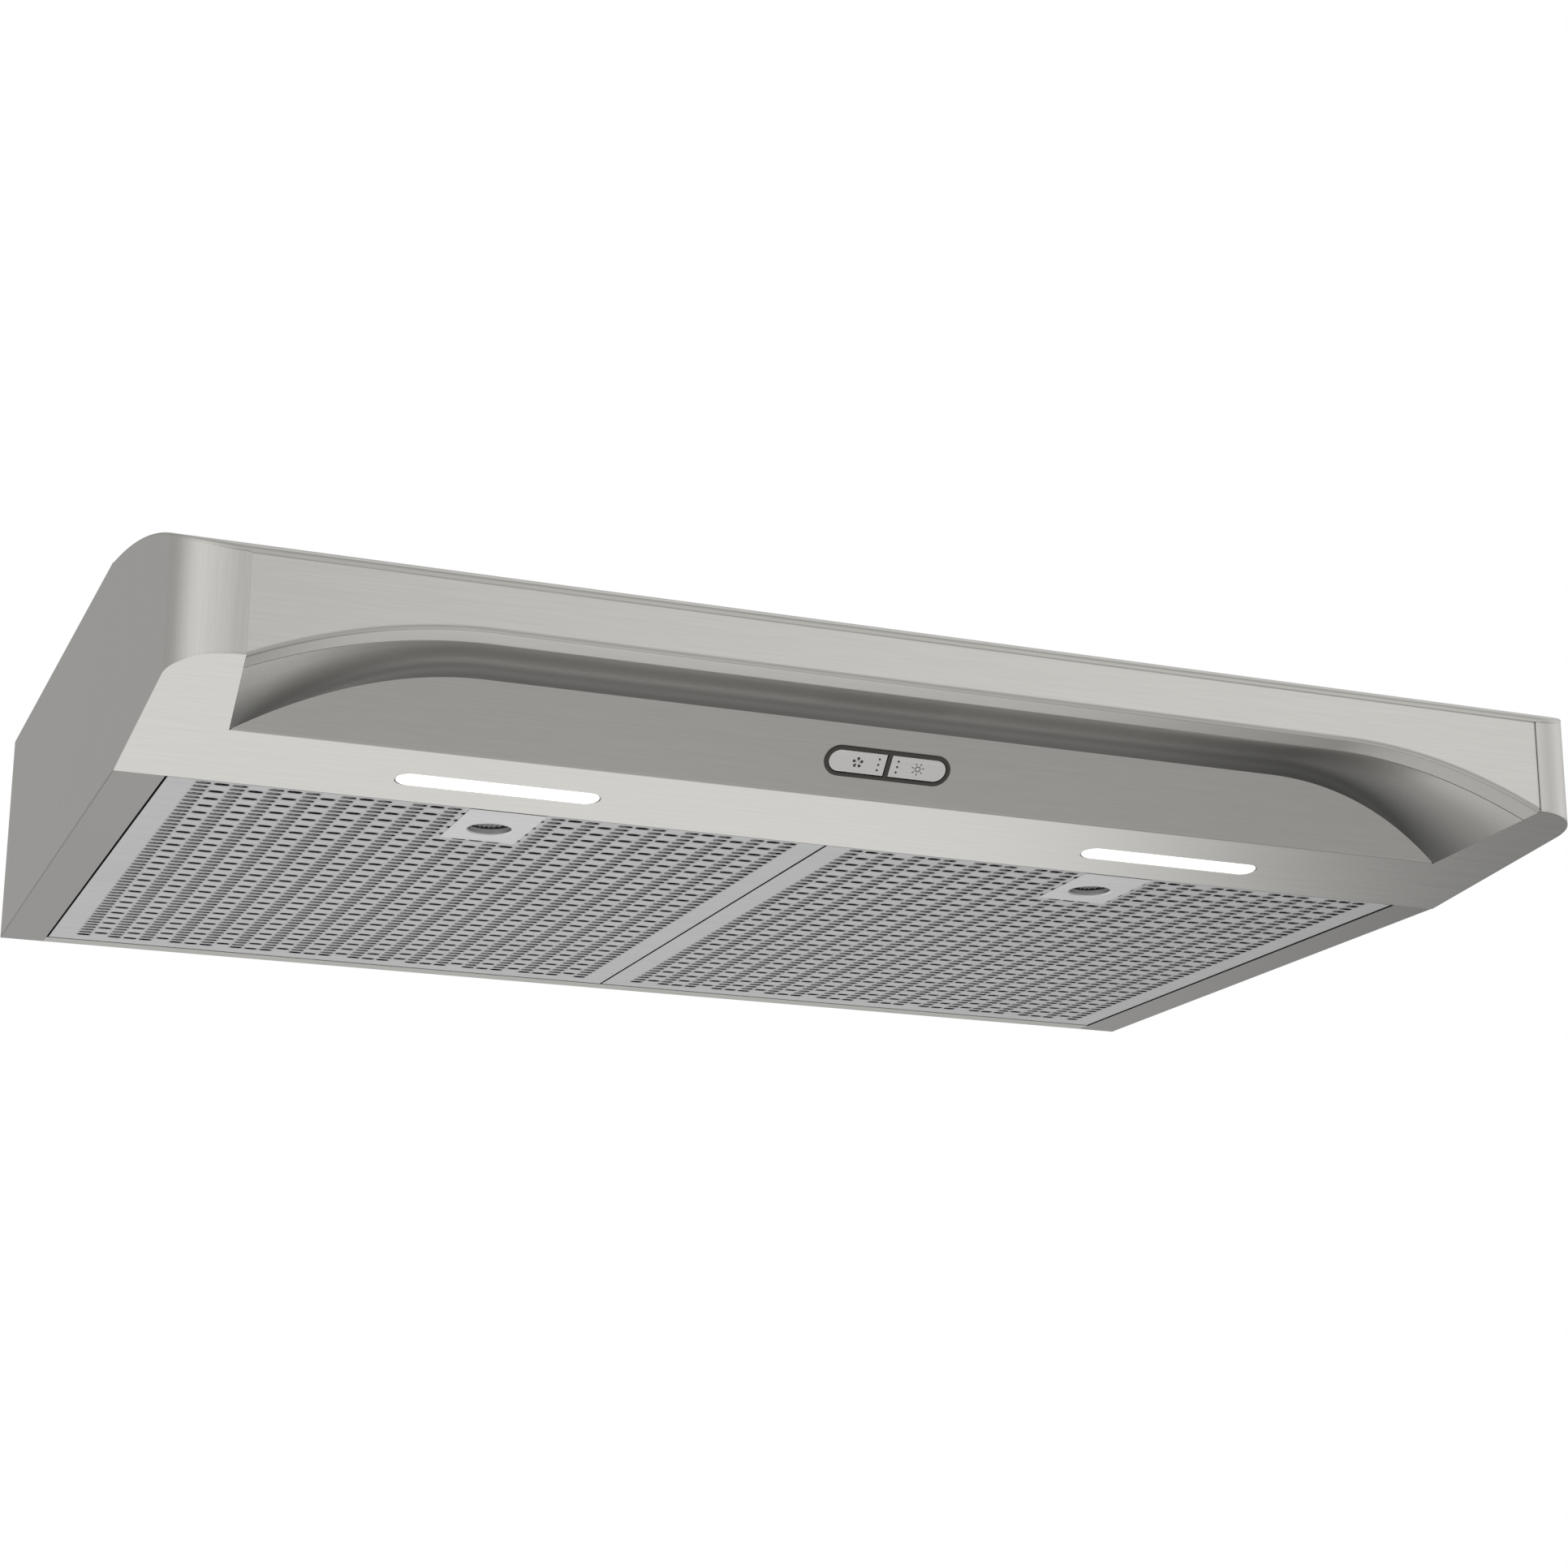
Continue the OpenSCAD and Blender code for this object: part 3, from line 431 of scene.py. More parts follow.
def openMesh(points, faces, facing, rises=None):
    # a sheet of faces, welded, with its faces turned towards facing
    def turn(work):
        total = sum((f.normal * f.calc_area() for f in work.faces), Vector())
        if total.dot(Vector(facing)) < 0:
            bmesh.ops.reverse_faces(work, faces=work.faces)

    mesh = bpy.data.meshes.new("sheet")
    mesh.from_pydata([Vector(p) + corner for p in points], [], faces)
    if rises:
        mesh.attributes.new("rise", "FLOAT", "POINT").data.foreach_set("value", rises)
    return reworked(mesh, weld, squareUp, turn)


def gridFaces(rows, columns):
    return [(r * columns + c, r * columns + c + 1, (r + 1) * columns + c + 1, (r + 1) * columns + c)
            for r in range(rows - 1) for c in range(columns - 1)]


def settle(piece, sharpAngle=32.0):
    # turns the piece into a plain mesh with even shading
    mesh = plainMesh(piece)
    piece.modifiers.clear()
    piece.data = mesh
    mesh.polygons.foreach_set("use_smooth", [True] * len(mesh.polygons))
    mesh.set_sharp_from_angle(angle=math.radians(sharpAngle))
    evener = piece.modifiers.new("even", "WEIGHTED_NORMAL")
    evener.keep_sharp = True
    evener.weight = 80
    return piece


def newPiece(name, mesh, finish):
    mesh.name = name
    piece = placed(name, mesh)
    mesh.materials.clear()
    mesh.materials.append(finish.material)
    return piece


def fit(piece, finish, body, *nodes):
    # the piece takes its place on the frame
    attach(piece, body)
    if nodes:
        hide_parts(*nodes)
    return piece


def sheetPiece(name, parts, finish, thick, even=True):
    # parts: (points, faces, facing) patches that meet; the sheet's thickness goes behind them
    work = bmesh.new()
    for part in parts:
        work.from_mesh(openMesh(*part))
    weld(work)
    mesh = bpy.data.meshes.new(name)
    work.to_mesh(mesh)
    work.free()
    piece = newPiece(name, mesh, finish)
    wall = piece.modifiers.new("wall", "SOLIDIFY")
    wall.thickness = thick
    wall.offset = -1
    wall.use_even_offset = even
    return settle(piece)


def addBevel(piece, width, segments=2, angle=40.0):
    edge = piece.modifiers.new("edge", "BEVEL")
    edge.width = width
    edge.segments = segments
    edge.limit_method = "ANGLE"
    edge.angle_limit = math.radians(angle)
    edge.use_clamp_overlap = True


def pillOutline(length, width, steps=14):
    # a slot outline with half-round ends, from the right end's foot anticlockwise
    r = width / 2
    turns = [math.radians(-90 + 180 * k / steps) for k in range(steps + 1)]
    right = [(length / 2 - r + r * math.cos(a), r * math.sin(a)) for a in turns]
    return right + [(-x, -y) for x, y in right]


def platePiece(name, outlines, finish, low, high, matrix, bevel=0.0, segments=2):
    # a flat plate with holes, cut from outlines, from height low to high, then put in place
    curve = bpy.data.curves.new(name, "CURVE")
    curve.dimensions = "2D"
    curve.fill_mode = "BOTH"
    curve.extrude = (high - low) / 2 - bevel
    curve.bevel_depth = bevel
    curve.bevel_resolution = segments
    curve.offset = -bevel
    for outline in outlines:
        spline = curve.splines.new("POLY")
        spline.points.add(len(outline) - 1)
        for point, (x, y) in zip(spline.points, outline):
            point.co = (x, y, 0, 1)
        spline.use_cyclic_u = True
    holder = placed(name + " outline", curve)
    mesh = plainMesh(holder)
    bpy.data.objects.remove(holder)
    bpy.data.curves.remove(curve)
    mesh.transform(matrix @ Matrix.Translation((0, 0, (low + high) / 2)))
    return settle(newPiece(name, reworked(mesh, weld, squareUp), finish))


def joined(name, pieces):
    # several meshes as one piece
    work = bmesh.new()
    for piece in pieces:
        work.from_mesh(piece.data)
    mesh = pieces[0].data
    work.to_mesh(mesh)
    work.free()
    for other in pieces[1:]:
        bpy.data.objects.remove(other)
    pieces[0].name = name
    return pieces[0]


def mixed(a, b, t):
    return a + (b - a) * t


def smooth(t):
    t = min(1.0, max(0.0, t))
    return t * t * (3 - 2 * t)


shell = {
    "cornerRadius": 0.032,
    "sheet": 0.0009,
    "topFront": 0.069,       # height of the front face's top edge
    "visorRun": 0.200,
    "visorBulge": 0.007,
    "hemFront": 0.003,       # height of the visor's hem along the front
    "hemSide": 0.001,        # and along the sides
    "noseIn": 0.0013,        # how far the visor's nose rolls in, and its height
    "noseHigh": 0.0024,
    "noseSide": 0.0008,      # both along the sides
    "noseSteps": 9,
    "flangeSteps": 5,
    "faceInset": 0.0009,     # the front face stands behind the hem
    "hemBead": 0.0009,       # the hem's bottom edge is chamfered by this along the front
    "leastEdge": 0.0002,     # and by this along the sides
    "seam": 0.0001,
    "bandRise": 0.0165,
    "bandRun": 0.154,
    "flange": 0.0255,
    "arcSteps": 20,
    "visorSteps": 14,
    "acrossSteps": 24,
}
halfWide = visorHigh.x
totalHigh = visorHigh.z - bandLow.z
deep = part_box("back_panel")[1].y - corner.y
cornerX = halfWide - shell["cornerRadius"]
bandSlope = shell["bandRise"] / shell["bandRun"]
visorRise = totalHigh - shell["topFront"]
visorChord = math.hypot(shell["visorRun"], visorRise)
visorRadius = (visorChord ** 2 / 4 + shell["visorBulge"] ** 2) / (2 * shell["visorBulge"])
visorReach = visorRadius - shell["visorBulge"]
visorCentreY = shell["visorRun"] / 2 + visorRise / visorChord * visorReach
visorCentreZ = shell["topFront"] + visorRise / 2 - shell["visorRun"] / visorChord * visorReach


def topHeight(y):
    if y >= shell["visorRun"]:
        return totalHigh
    return visorCentreZ + math.sqrt(visorRadius ** 2 - (y - visorCentreY) ** 2)


def bandHeight(y):
    return max(0.0, shell["bandRise"] - bandSlope * y)


def quarter(steps):
    # the angles of a quarter turn
    return [math.radians(90 * k / steps) for k in range(steps + 1)]


def cornerStations():
    # the left front corner in plan, from the front seam round to the side: (x, y, outward x, outward y)
    r = shell["cornerRadius"]
    stations = []
    for k in range(shell["arcSteps"] + 1):
        a = math.radians(90 * k / shell["arcSteps"])
        stations.append((-cornerX - r * math.sin(a), r - r * math.cos(a), -math.sin(a), -math.cos(a)))
    return stations


def hemHeight(turn):
    return mixed(shell["hemFront"], shell["hemSide"], smooth(turn))


def visorPiece():
    corners = cornerStations()
    radius, steps = shell["cornerRadius"], shell["visorSteps"]
    sideYs = [radius + (shell["visorRun"] - radius) * k / steps for k in range(1, steps + 1)]
    left = [(x, y, nx, ny, k / shell["arcSteps"]) for k, (x, y, nx, ny) in enumerate(corners)]
    left += [(-halfWide, y, -1.0, 0.0, 1.0) for y in sideYs]
    n = shell["acrossSteps"]
    front = [(mixed(-cornerX, cornerX, k / n), 0.0, 0.0, -1.0, 0.0) for k in range(n + 1)]
    right = [(-x, y, -nx, ny, turn) for x, y, nx, ny, turn in left]
    path = left[::-1] + front[1:-1] + right
    rows = []
    for a in quarter(shell["noseSteps"]):
        rows.append([])
        for x, y, nx, ny, turn in path:
            noseIn = mixed(shell["noseIn"], shell["noseSide"], smooth(turn))
            noseHigh = mixed(shell["noseHigh"], shell["noseSide"], smooth(turn))
            inward = noseIn * (1 - math.cos(a))
            px, py = x - nx * inward, y - ny * inward
            height = topHeight(min(py, shell["visorRun"])) - noseHigh * (1 - math.sin(a))
            rows[-1].append((px, py, height))
    hem, bead = [], []
    for x, y, nx, ny, turn in path:
        size = mixed(shell["hemBead"], shell["leastEdge"], smooth(turn))
        foot = topHeight(y) - hemHeight(turn)
        hem.append((x, y, foot + size))
        bead.append((x - nx * size, y - ny * size, foot))
    rows = [bead, hem] + rows
    skirt = [p for row in rows for p in row]
    skirtFaces = gridFaces(len(rows), len(path))
    inner = rows[-1]
    half = len(left)
    top = []
    for k in range(half):
        a, b = inner[half - 1 - k], inner[len(inner) - half + k]
        for c in range(n + 1):
            top.append((mixed(a[0], b[0], c / n), a[1], a[2]))
    topFaces = gridFaces(half, n + 1)
    parts = [(skirt, skirtFaces, (0, -1, 0.2)), (top, topFaces, (0, 0, 1))]
    return sheetPiece("visor", parts, shellSteel, shell["sheet"] / 2, even=False)


def sidePiece(name, side):
    corners = cornerStations()
    bend = shell["sheet"]
    run, radius = shell["bandRun"], shell["cornerRadius"]
    end = deep - shell["sheet"]
    stations = [(-x, y, -nx, ny, k / shell["arcSteps"]) for k, (x, y, nx, ny) in enumerate(corners)]
    stretches = ((radius, run, 16), (run, shell["visorRun"], 5), (shell["visorRun"], end, 16))
    ys = [mixed(a, b, k / n) for a, b, n in stretches for k in range(1, n + 1)]
    stations += [(halfWide, y, 1.0, 0.0, 1.0) for y in ys]
    upright = 14
    wall = []
    for x, y, nx, ny, turn in stations:
        low = bandHeight(y) + bend
        high = (topHeight(y) - hemHeight(turn)) if y < shell["visorRun"] else totalHigh - 0.001
        wall += [(side * x, y, mixed(low, high, k / upright)) for k in range(upright + 1)]
    parts = [(wall, gridFaces(len(stations), upright + 1), (side, -0.2, 0))]
    behind = [s for s in stations if s[1] >= run - 1e-9]
    flange = []
    for x, y, nx, ny, turn in behind:
        for a in quarter(shell["flangeSteps"]):
            flange.append((side * (x - bend * (1 - math.cos(a))), y, bend * (1 - math.sin(a))))
        flange.append((side * (x - shell["flange"]), y, 0.0))
    parts.append((flange, gridFaces(len(behind), shell["flangeSteps"] + 2), (side * 0.3, 0, -1)))
    return sheetPiece(name, parts, sideSteel, shell["sheet"])


fit(visorPiece(), shellSteel, "root", "visor_cover")
fit(sidePiece("left_side", -1), sideSteel, "root", "left_side_panel")
fit(sidePiece("right_side", 1), sideSteel, "root", "right_side_panel")
print("visor and sides made")


scoop = {
    "lip": 0.0427,           # height of the front face's lower edge in the middle
    "strip": 0.0144,         # depth of the strip under that edge
    "end": 0.118,            # length over which the scoop runs out
    "splay": 0.011,
    "panelY": 0.087,
    "panelLength": 0.0413,
    "panelTilt": math.radians(40.8),
    "coveFront": 0.005,
    "coveRear": 0.012,
    "lipRadius": 0.0028,     # bend at the front face's lower edge
    "footRadius": 0.0026,    # bend from the control panel to the band
    "gap": 0.0005,           # seam between the strip and the cove
    "endSteps": 26,
    "middleSteps": 10,
    "coveSteps": 26,
    "bendSteps": 7,
}
lipFlat = cornerX - scoop["end"]
valleyEnd = cornerX - scoop["splay"]
valleyFlat = valleyEnd - scoop["end"]
panelZ = shell["bandRise"] - scoop["panelY"] * bandSlope
bandTilt = math.atan(bandSlope)


def scoopStations():
    # (side, share) along the scoop: share is 0 in the flat middle and 1 at the scoop's ends
    ends = [(scoop["endSteps"] - k) / scoop["endSteps"] for k in range(scoop["endSteps"])]
    n = scoop["middleSteps"]
    middle = [(-1 + 2 * k / n, 0.0) for k in range(n + 1)]
    return [(-1.0, e) for e in ends] + middle + [(1.0, e) for e in reversed(ends)]


def lipX(side, share):
    return side * (lipFlat + scoop["end"] * share)


def valleyX(side, share):
    return side * (valleyFlat + scoop["end"] * share)


def lipHeight(share):
    return scoop["lip"] - (scoop["lip"] - shell["bandRise"]) * share ** 2


def valleyPoint(share):
    up = scoop["panelLength"] * (1 - share ** 2)
    return (scoop["panelY"] - up * math.sin(scoop["panelTilt"]), panelZ + up * math.cos(scoop["panelTilt"]))


def sectionX(side, share, y):
    return mixed(lipX(side, share), valleyX(side, share), y / valleyPoint(share)[0])


def frontFacePiece():
    inset = shell["faceInset"]
    turn = math.pi / 2 - bandTilt
    radius = scoop["lipRadius"]
    tangent = radius * math.tan(turn / 2)
    topZ = shell["topFront"] - shell["hemFront"]
    faceRows, stripRows = 6, 4
    points = []
    stations = scoopStations()
    for side, share in stations:
        low = lipHeight(share) - bandSlope * inset
        trim = shell["seam"] * abs(side) * share
        column = [(inset, mixed(topZ, low + tangent, k / faceRows)) for k in range(faceRows)]
        for k in range(scoop["bendSteps"] + 1):
            a = turn * k / scoop["bendSteps"]
            column.append((inset + radius * (1 - math.cos(a)), low + tangent - radius * math.sin(a)))
        startY, startZ = column[-1]
        endY = scoop["strip"] - scoop["gap"] / 2
        for k in range(1, stripRows + 1):
            y = mixed(startY, endY, k / stripRows)
            column.append((y, startZ - bandSlope * (y - startY)))
        for y, z in column:
            points.append((sectionX(side, share, y) - math.copysign(trim, side), y, z))
    size = len(points) // len(stations)
    parts = [(points, gridFaces(len(stations), size), (0, -1, -0.3))]
    return sheetPiece("front_face", parts, frontSteel, shell["sheet"])


def bezier(a, b, c, d, t):
    return a * (1 - t) ** 3 + b * 3 * t * (1 - t) ** 2 + c * 3 * t * t * (1 - t) + d * t ** 3


def covePiece():
    points, rises = [], []
    stations = scoopStations()
    for side, share in stations:
        y0 = scoop["strip"] + scoop["gap"] / 2
        z0 = lipHeight(share) - bandSlope * y0
        y3, z3 = valleyPoint(share)
        lift = 1 - share ** 2
        y1, z1 = mixed(y0, y3, 1 / 3), mixed(z0, z3, 1 / 3) + scoop["coveFront"] * lift
        y2, z2 = mixed(y0, y3, 0.85), mixed(z0, z3, 0.85) + scoop["coveRear"] * lift
        for k in range(scoop["coveSteps"] + 1):
            t = k / scoop["coveSteps"]
            y, z = bezier(y0, y1, y2, y3, t), bezier(z0, z1, z2, z3, t)
            points.append((sectionX(side, share, y), y, z))
            # rise carries the cove's painted shade, from 0 at the strip to 1 at the valley
            rises.append(t)
    parts = [(points, gridFaces(len(stations), scoop["coveSteps"] + 1), (0, 0, -1), rises)]
    return sheetPiece("scoop_cove", parts, coveSteel, shell["sheet"])


panelPlace = (Matrix.Translation(corner + Vector((0, scoop["panelY"], panelZ)))
              @ Matrix.Rotation(math.pi / 2 + scoop["panelTilt"], 4, "X"))
bandPlace = (Matrix.Translation(corner + Vector((0, shell["bandRun"], 0)))
             @ Matrix.Rotation(-bandTilt, 4, "X"))

keys = {
    "length": 0.070,
    "height": 0.017,
    "rim": 0.002,
    "gap": 0.0003,
    "divider": 0.002,
    "ringHigh": 0.0008,
    "sleeve": 0.004,
    "keyDeep": 0.005,
    "keyProud": 0.0003,
    "markHigh": 0.00006,
    "markSunk": 0.00002,
    "dotSize": 0.00062,
    "dotPitch": 0.0031,
    "dotPlace": 0.0053,
    "iconPlace": 0.0168,
    "fanRadius": 0.0028,
    "petals": 5,
    "lampRadius": 0.0016,
    "rays": 7,
}
keyMiddle = scoop["panelLength"] / 2
footTurn = math.pi / 2 - scoop["panelTilt"] - bandTilt
footTangent = scoop["footRadius"] * math.tan(footTurn / 2)


def controlPanelPiece():
    top = []
    for side, share in scoopStations():
        height = scoop["panelLength"] * (1 - share ** 2)
        if height > footTangent * 1.5:
            top.append((valleyX(side, share), height))
    edge = valleyX(1, math.sqrt(1 - footTangent / scoop["panelLength"]))
    outline = top[::-1] + [(-edge, footTangent), (edge, footTangent)]
    hole = moved(pillOutline(keys["length"] - keys["rim"], keys["height"] - keys["rim"]), (0, keyMiddle))
    flat = platePiece("control_panel", [outline, hole], panelSteel, -shell["sheet"], 0.0, panelPlace)
    foot = []
    n, tilt, radius = scoop["bendSteps"], scoop["panelTilt"], scoop["footRadius"]
    startY = scoop["panelY"] - footTangent * math.sin(tilt)
    startZ = panelZ + footTangent * math.cos(tilt)
    for k in range(n + 1):
        # from the panel's slope round to the band's
        along = tilt + footTurn * k / n
        foot.append((mixed(edge, valleyEnd, k / n), startY + radius * (math.cos(tilt) - math.cos(along)),
                     startZ - radius * (math.sin(along) - math.sin(tilt))))
    points = [(side * x, y, z) for x, y, z in foot for side in (-1, 1)]
    parts = [(points, gridFaces(n + 1, 2), (0, -0.4, -1))]
    bend = sheetPiece("panel_foot", parts, panelSteel, shell["sheet"])
    return joined("control_panel", [flat, bend])


lights = {
    "length": 0.108,
    "width": 0.016,
    "place": 0.1915,
    "deep": 0.1255,
    "clear": 0.0002,
    "lensHigh": 0.0024,
    "lensProud": 0.0002,
    "bezel": 0.0009,
    "bezelDeep": 0.0005,
}


def bandOutline():
    # in the band's own plane, y from its rear edge
    def flat(x, y):
        return (x, (y - shell["bandRun"]) / math.cos(bandTilt))

    footY = scoop["panelY"] + footTangent * math.cos(bandTilt)
    left = [flat(-halfWide, shell["bandRun"])]
    left += [flat(x, y) for x, y, nx, ny in reversed(cornerStations())]
    left.append(flat(-valleyEnd, footY))
    return left + [(-x, y) for x, y in reversed(left)]


def lightPlace(side):
    return (side * lights["place"], (lights["deep"] - shell["bandRun"]) / math.cos(bandTilt))


def moved(outline, place):
    return [(x + place[0], y + place[1]) for x, y in outline]


def lightBandPiece():
    holes = [moved(pillOutline(lights["length"], lights["width"]), lightPlace(side)) for side in (-1, 1)]
    return platePiece("light_band_sheet", [bandOutline()] + holes, bandSteel, 0.0, shell["sheet"], bandPlace)


fit(frontFacePiece(), frontSteel, "root", "front_face_panel")
fit(covePiece(), coveSteel, "root", "scoop_liner")
fit(controlPanelPiece(), panelSteel, "root", "control_panel")
fit(lightBandPiece(), bandSteel, "root", "light_band")
print("front, scoop, panel and band made")


def keyOutline(side, gap):
    # one half of the pill, on one side of the divider
    inner = keys["length"] - 2 * keys["rim"] - 2 * gap
    high = keys["height"] - 2 * keys["rim"] - 2 * gap
    edge = keys["divider"] / 2 + gap
    half = [p for p in pillOutline(inner, high, 16) if p[0] > 0] + [(edge, high / 2), (edge, -high / 2)]
    return [(side * x, side * y + keyMiddle) for x, y in half]


def discOutline(x, y, radius, steps=14):
    return [(x + radius * math.cos(2 * math.pi * k / steps), y + radius * math.sin(2 * math.pi * k / steps))
            for k in range(steps)]


def turned(points, angle, x, y):
    c, s = math.cos(angle), math.sin(angle)
    return [(x + c * px - s * py, y + s * px + c * py) for px, py in points]


def dotMarks(side):
    x = side * keys["dotPlace"]
    return [discOutline(x, keyMiddle + k * keys["dotPitch"], keys["dotSize"]) for k in (-1, 0, 1)]


def fanMarks():
    # a five-bladed fan and three dots
    x, y = -keys["iconPlace"], keyMiddle
    r = keys["fanRadius"]
    blade = [(0.30 * r, -0.10 * r), (0.95 * r, -0.34 * r), (1.12 * r, 0.10 * r), (0.80 * r, 0.34 * r)]
    marks = [turned(blade, math.radians(90 + 360 * k / keys["petals"]), x, y) for k in range(keys["petals"])]
    return marks + dotMarks(-1)


def lampMarks():
    # a round lamp with rays and three dots
    x, y = keys["iconPlace"], keyMiddle
    r = keys["lampRadius"]
    ring = [discOutline(x, y, r, 20), discOutline(x, y, r * 0.72, 20)]
    ray = [(1.45 * r, -0.13 * r), (2.25 * r, -0.13 * r), (2.25 * r, 0.13 * r), (1.45 * r, 0.13 * r)]
    rays = [turned(ray, math.radians(360 * k / keys["rays"] + 13), x, y) for k in range(keys["rays"])]
    return ring + rays + dotMarks(1)


def surroundPiece():
    outer = moved(pillOutline(keys["length"], keys["height"], 20), (0, keyMiddle))
    rim = keys["rim"]
    sleeve = moved(pillOutline(keys["length"] - rim, keys["height"] - rim, 20), (0, keyMiddle))
    holes = [keyOutline(side, 0.0) for side in (-1, 1)]
    ring = platePiece("key_ring", [outer] + holes, rimPlastic, 0.0, keys["ringHigh"], panelPlace, 0.00028, 3)
    tube = platePiece("key_tube", [sleeve] + holes, rimPlastic, -keys["sleeve"], 0.0, panelPlace)
    return joined("key_ring", [ring, tube])


fit(surroundPiece(), rimPlastic, "root", "key_surround")
for side, keyName, marks in ((-1, "fan_key", fanMarks()), (1, "light_key", lampMarks())):
    proud = keys["keyProud"]
    cap = platePiece(keyName + "_cap", [keyOutline(side, keys["gap"])], capPlastic, -keys["keyDeep"], proud,
                     panelPlace, 0.0004, 3)
    fit(cap, capPlastic, keyName, keyName)
    keyPrint = platePiece(keyName + "_marks", marks, rimPlastic, proud - keys["markSunk"],
                          proud + keys["markHigh"], panelPlace)
    fit(keyPrint, rimPlastic, keyName)
print("keys made")


for side, sideName in ((-1, "left"), (1, "right")):
    place = lightPlace(side)
    outer, inner = (moved(pillOutline(lights["length"] - 2 * inset, lights["width"] - 2 * inset, 20), place)
                    for inset in (lights["clear"], lights["bezel"]))
    lens = platePiece(sideName + "_lens", [inner], lensFrost, -lights["lensProud"], lights["lensHigh"],
                      bandPlace, 0.0006, 4)
    fit(lens, lensFrost, "root", sideName + "_light_lens")
    bezel = platePiece(sideName + "_lens_bezel", [outer, inner], bezelPlastic, lights["bezelDeep"],
                       lights["lensHigh"], bandPlace)
    fit(bezel, bezelPlastic, "root")
print("lights made")


filters = {
    "across": 35,            # columns and rows of slots
    "rows": 52,
    "pitchAcross": 0.00925,
    "pitchDeep": 0.0071,
    "slotLong": 0.0080,
    "slotWide": 0.0043,
    "firstRow": 0.0043,      # first row of slots from the front edge
    "faceLow": 0.0003,       # the face stands above the latch plate
    "faceHigh": 0.0005,
    "rim": 0.0002,
    "rimSteps": 3,
    "plateWide": 0.041,
    "plateDeep": 0.060,
    "plateThick": 0.00028,
    "holeRadius": 0.0115,
    "holeRoll": 0.0008,
    "holeY": 0.036,
    "collarDeep": 0.0034,
    "solidEvery": 4,
    "holeSteps": 48,
    "holeRolls": 6,
}


def cellMesh(name, withSlot):
    # one cell of the face, centred, with its slot cut through
    w, d = filters["pitchAcross"] / 2, filters["pitchDeep"] / 2
    low, high = filters["faceLow"], filters["faceHigh"]
    border = [(w, -d), (w, d), (-w, d), (-w, -d)]
    points, faces = [], []
    if not withSlot:
        points = [(x, y, z) for z in (low, high) for x, y in border]
        faces = [(3, 2, 1, 0), (4, 5, 6, 7)]
    else:
        slot = pillOutline(filters["slotLong"], filters["slotWide"], 5)
        n = len(slot)
        half = n // 2
        for z in (low, high):
            points += [(x, y, z) for x, y in border] + [(x, y, z) for x, y in slot]
        for level, flip in ((0, True), (4 + n, False)):
            cornerAt = [level + k for k in range(4)]
            slotAt = [level + 4 + k for k in range(n)]
            ring = [
                [cornerAt[0], cornerAt[1]] + slotAt[half - 1::-1],
                [cornerAt[1], cornerAt[2], slotAt[half], slotAt[half - 1]],
                [cornerAt[2], cornerAt[3]] + slotAt[n - 1:half - 1:-1],
                [cornerAt[3], cornerAt[0], slotAt[0], slotAt[n - 1]],
            ]
            faces += [tuple(reversed(f)) if flip else tuple(f) for f in ring]
        for k in range(n):
            a, b = 4 + k, 4 + (k + 1) % n
            faces.append((b, a, a + 4 + n, b + 4 + n))
    mesh = bpy.data.meshes.new(name)
    mesh.from_pydata(points, [], faces)
    # land marks the slot cells for the filter face's painted shade
    land = mesh.attributes.new("land", "FLOAT", "POINT")
    land.data.foreach_set("value", [1.0 if withSlot else 0.0] * len(points))
    return placed(name, mesh)


def borderMesh(x0, x1, y0, y1):
    # the plain border round the slots, with a rolled outer edge
    wide = filters["across"] * filters["pitchAcross"]
    gx0 = (x0 + x1 - wide) / 2
    gy0 = y0 + filters["firstRow"] - filters["pitchDeep"] / 2
    xs = [gx0 + k * filters["pitchAcross"] for k in range(filters["across"] + 1)]
    ys = [gy0 + k * filters["pitchDeep"] for k in range(filters["rows"] + 1)]
    inner = [(x, ys[0]) for x in xs] + [(xs[-1], y) for y in ys[1:]]
    inner += [(x, ys[-1]) for x in reversed(xs[:-1])] + [(xs[0], y) for y in reversed(ys[1:-1])]
    corners = [(xs[0], ys[0]), (xs[-1], ys[0]), (xs[-1], ys[-1]), (xs[0], ys[-1])]
    cornerAt = [inner.index(c) for c in corners] + [len(inner)]
    rolls = filters["rimSteps"]
    loops = []
    for a in quarter(rolls):
        inset = filters["rim"] * (1 - math.sin(a))
        z = filters["faceLow"] + filters["rim"] * (1 - math.cos(a))
        loops.append([(x0 + inset, y0 + inset, z), (x1 - inset, y0 + inset, z),
                      (x1 - inset, y1 - inset, z), (x0 + inset, y1 - inset, z)])
    points = [p for loop in loops for p in loop]
    lowStart = len(points)
    points += [(x, y, filters["faceLow"]) for x, y in inner]
    highStart = len(points)
    points += [(x, y, filters["faceHigh"]) for x, y in inner]
    faces = []
    for k in range(rolls):
        for c in range(4):
            faces.append((k * 4 + c, (k + 1) * 4 + c, (k + 1) * 4 + (c + 1) % 4, k * 4 + (c + 1) % 4))
    for c in range(4):
        along = [i % len(inner) for i in range(cornerAt[c], cornerAt[c + 1] + 1)]
        faces.append(tuple([(c + 1) % 4, c] + [lowStart + i for i in along]))
        outer = [rolls * 4 + c, rolls * 4 + (c + 1) % 4]
        faces.append(tuple(outer + [highStart + i for i in reversed(along)]))
    mesh = bpy.data.meshes.new("filter border")
    mesh.from_pydata(points, [], faces)
    return reworked(mesh, squareUp), gy0


gridInputs = {"Geometry": "Geometry", "Columns": "Int", "Rows": "Int", "Pitch Across": "Float",
              "Pitch Deep": "Float", "Middle": "Vector"}


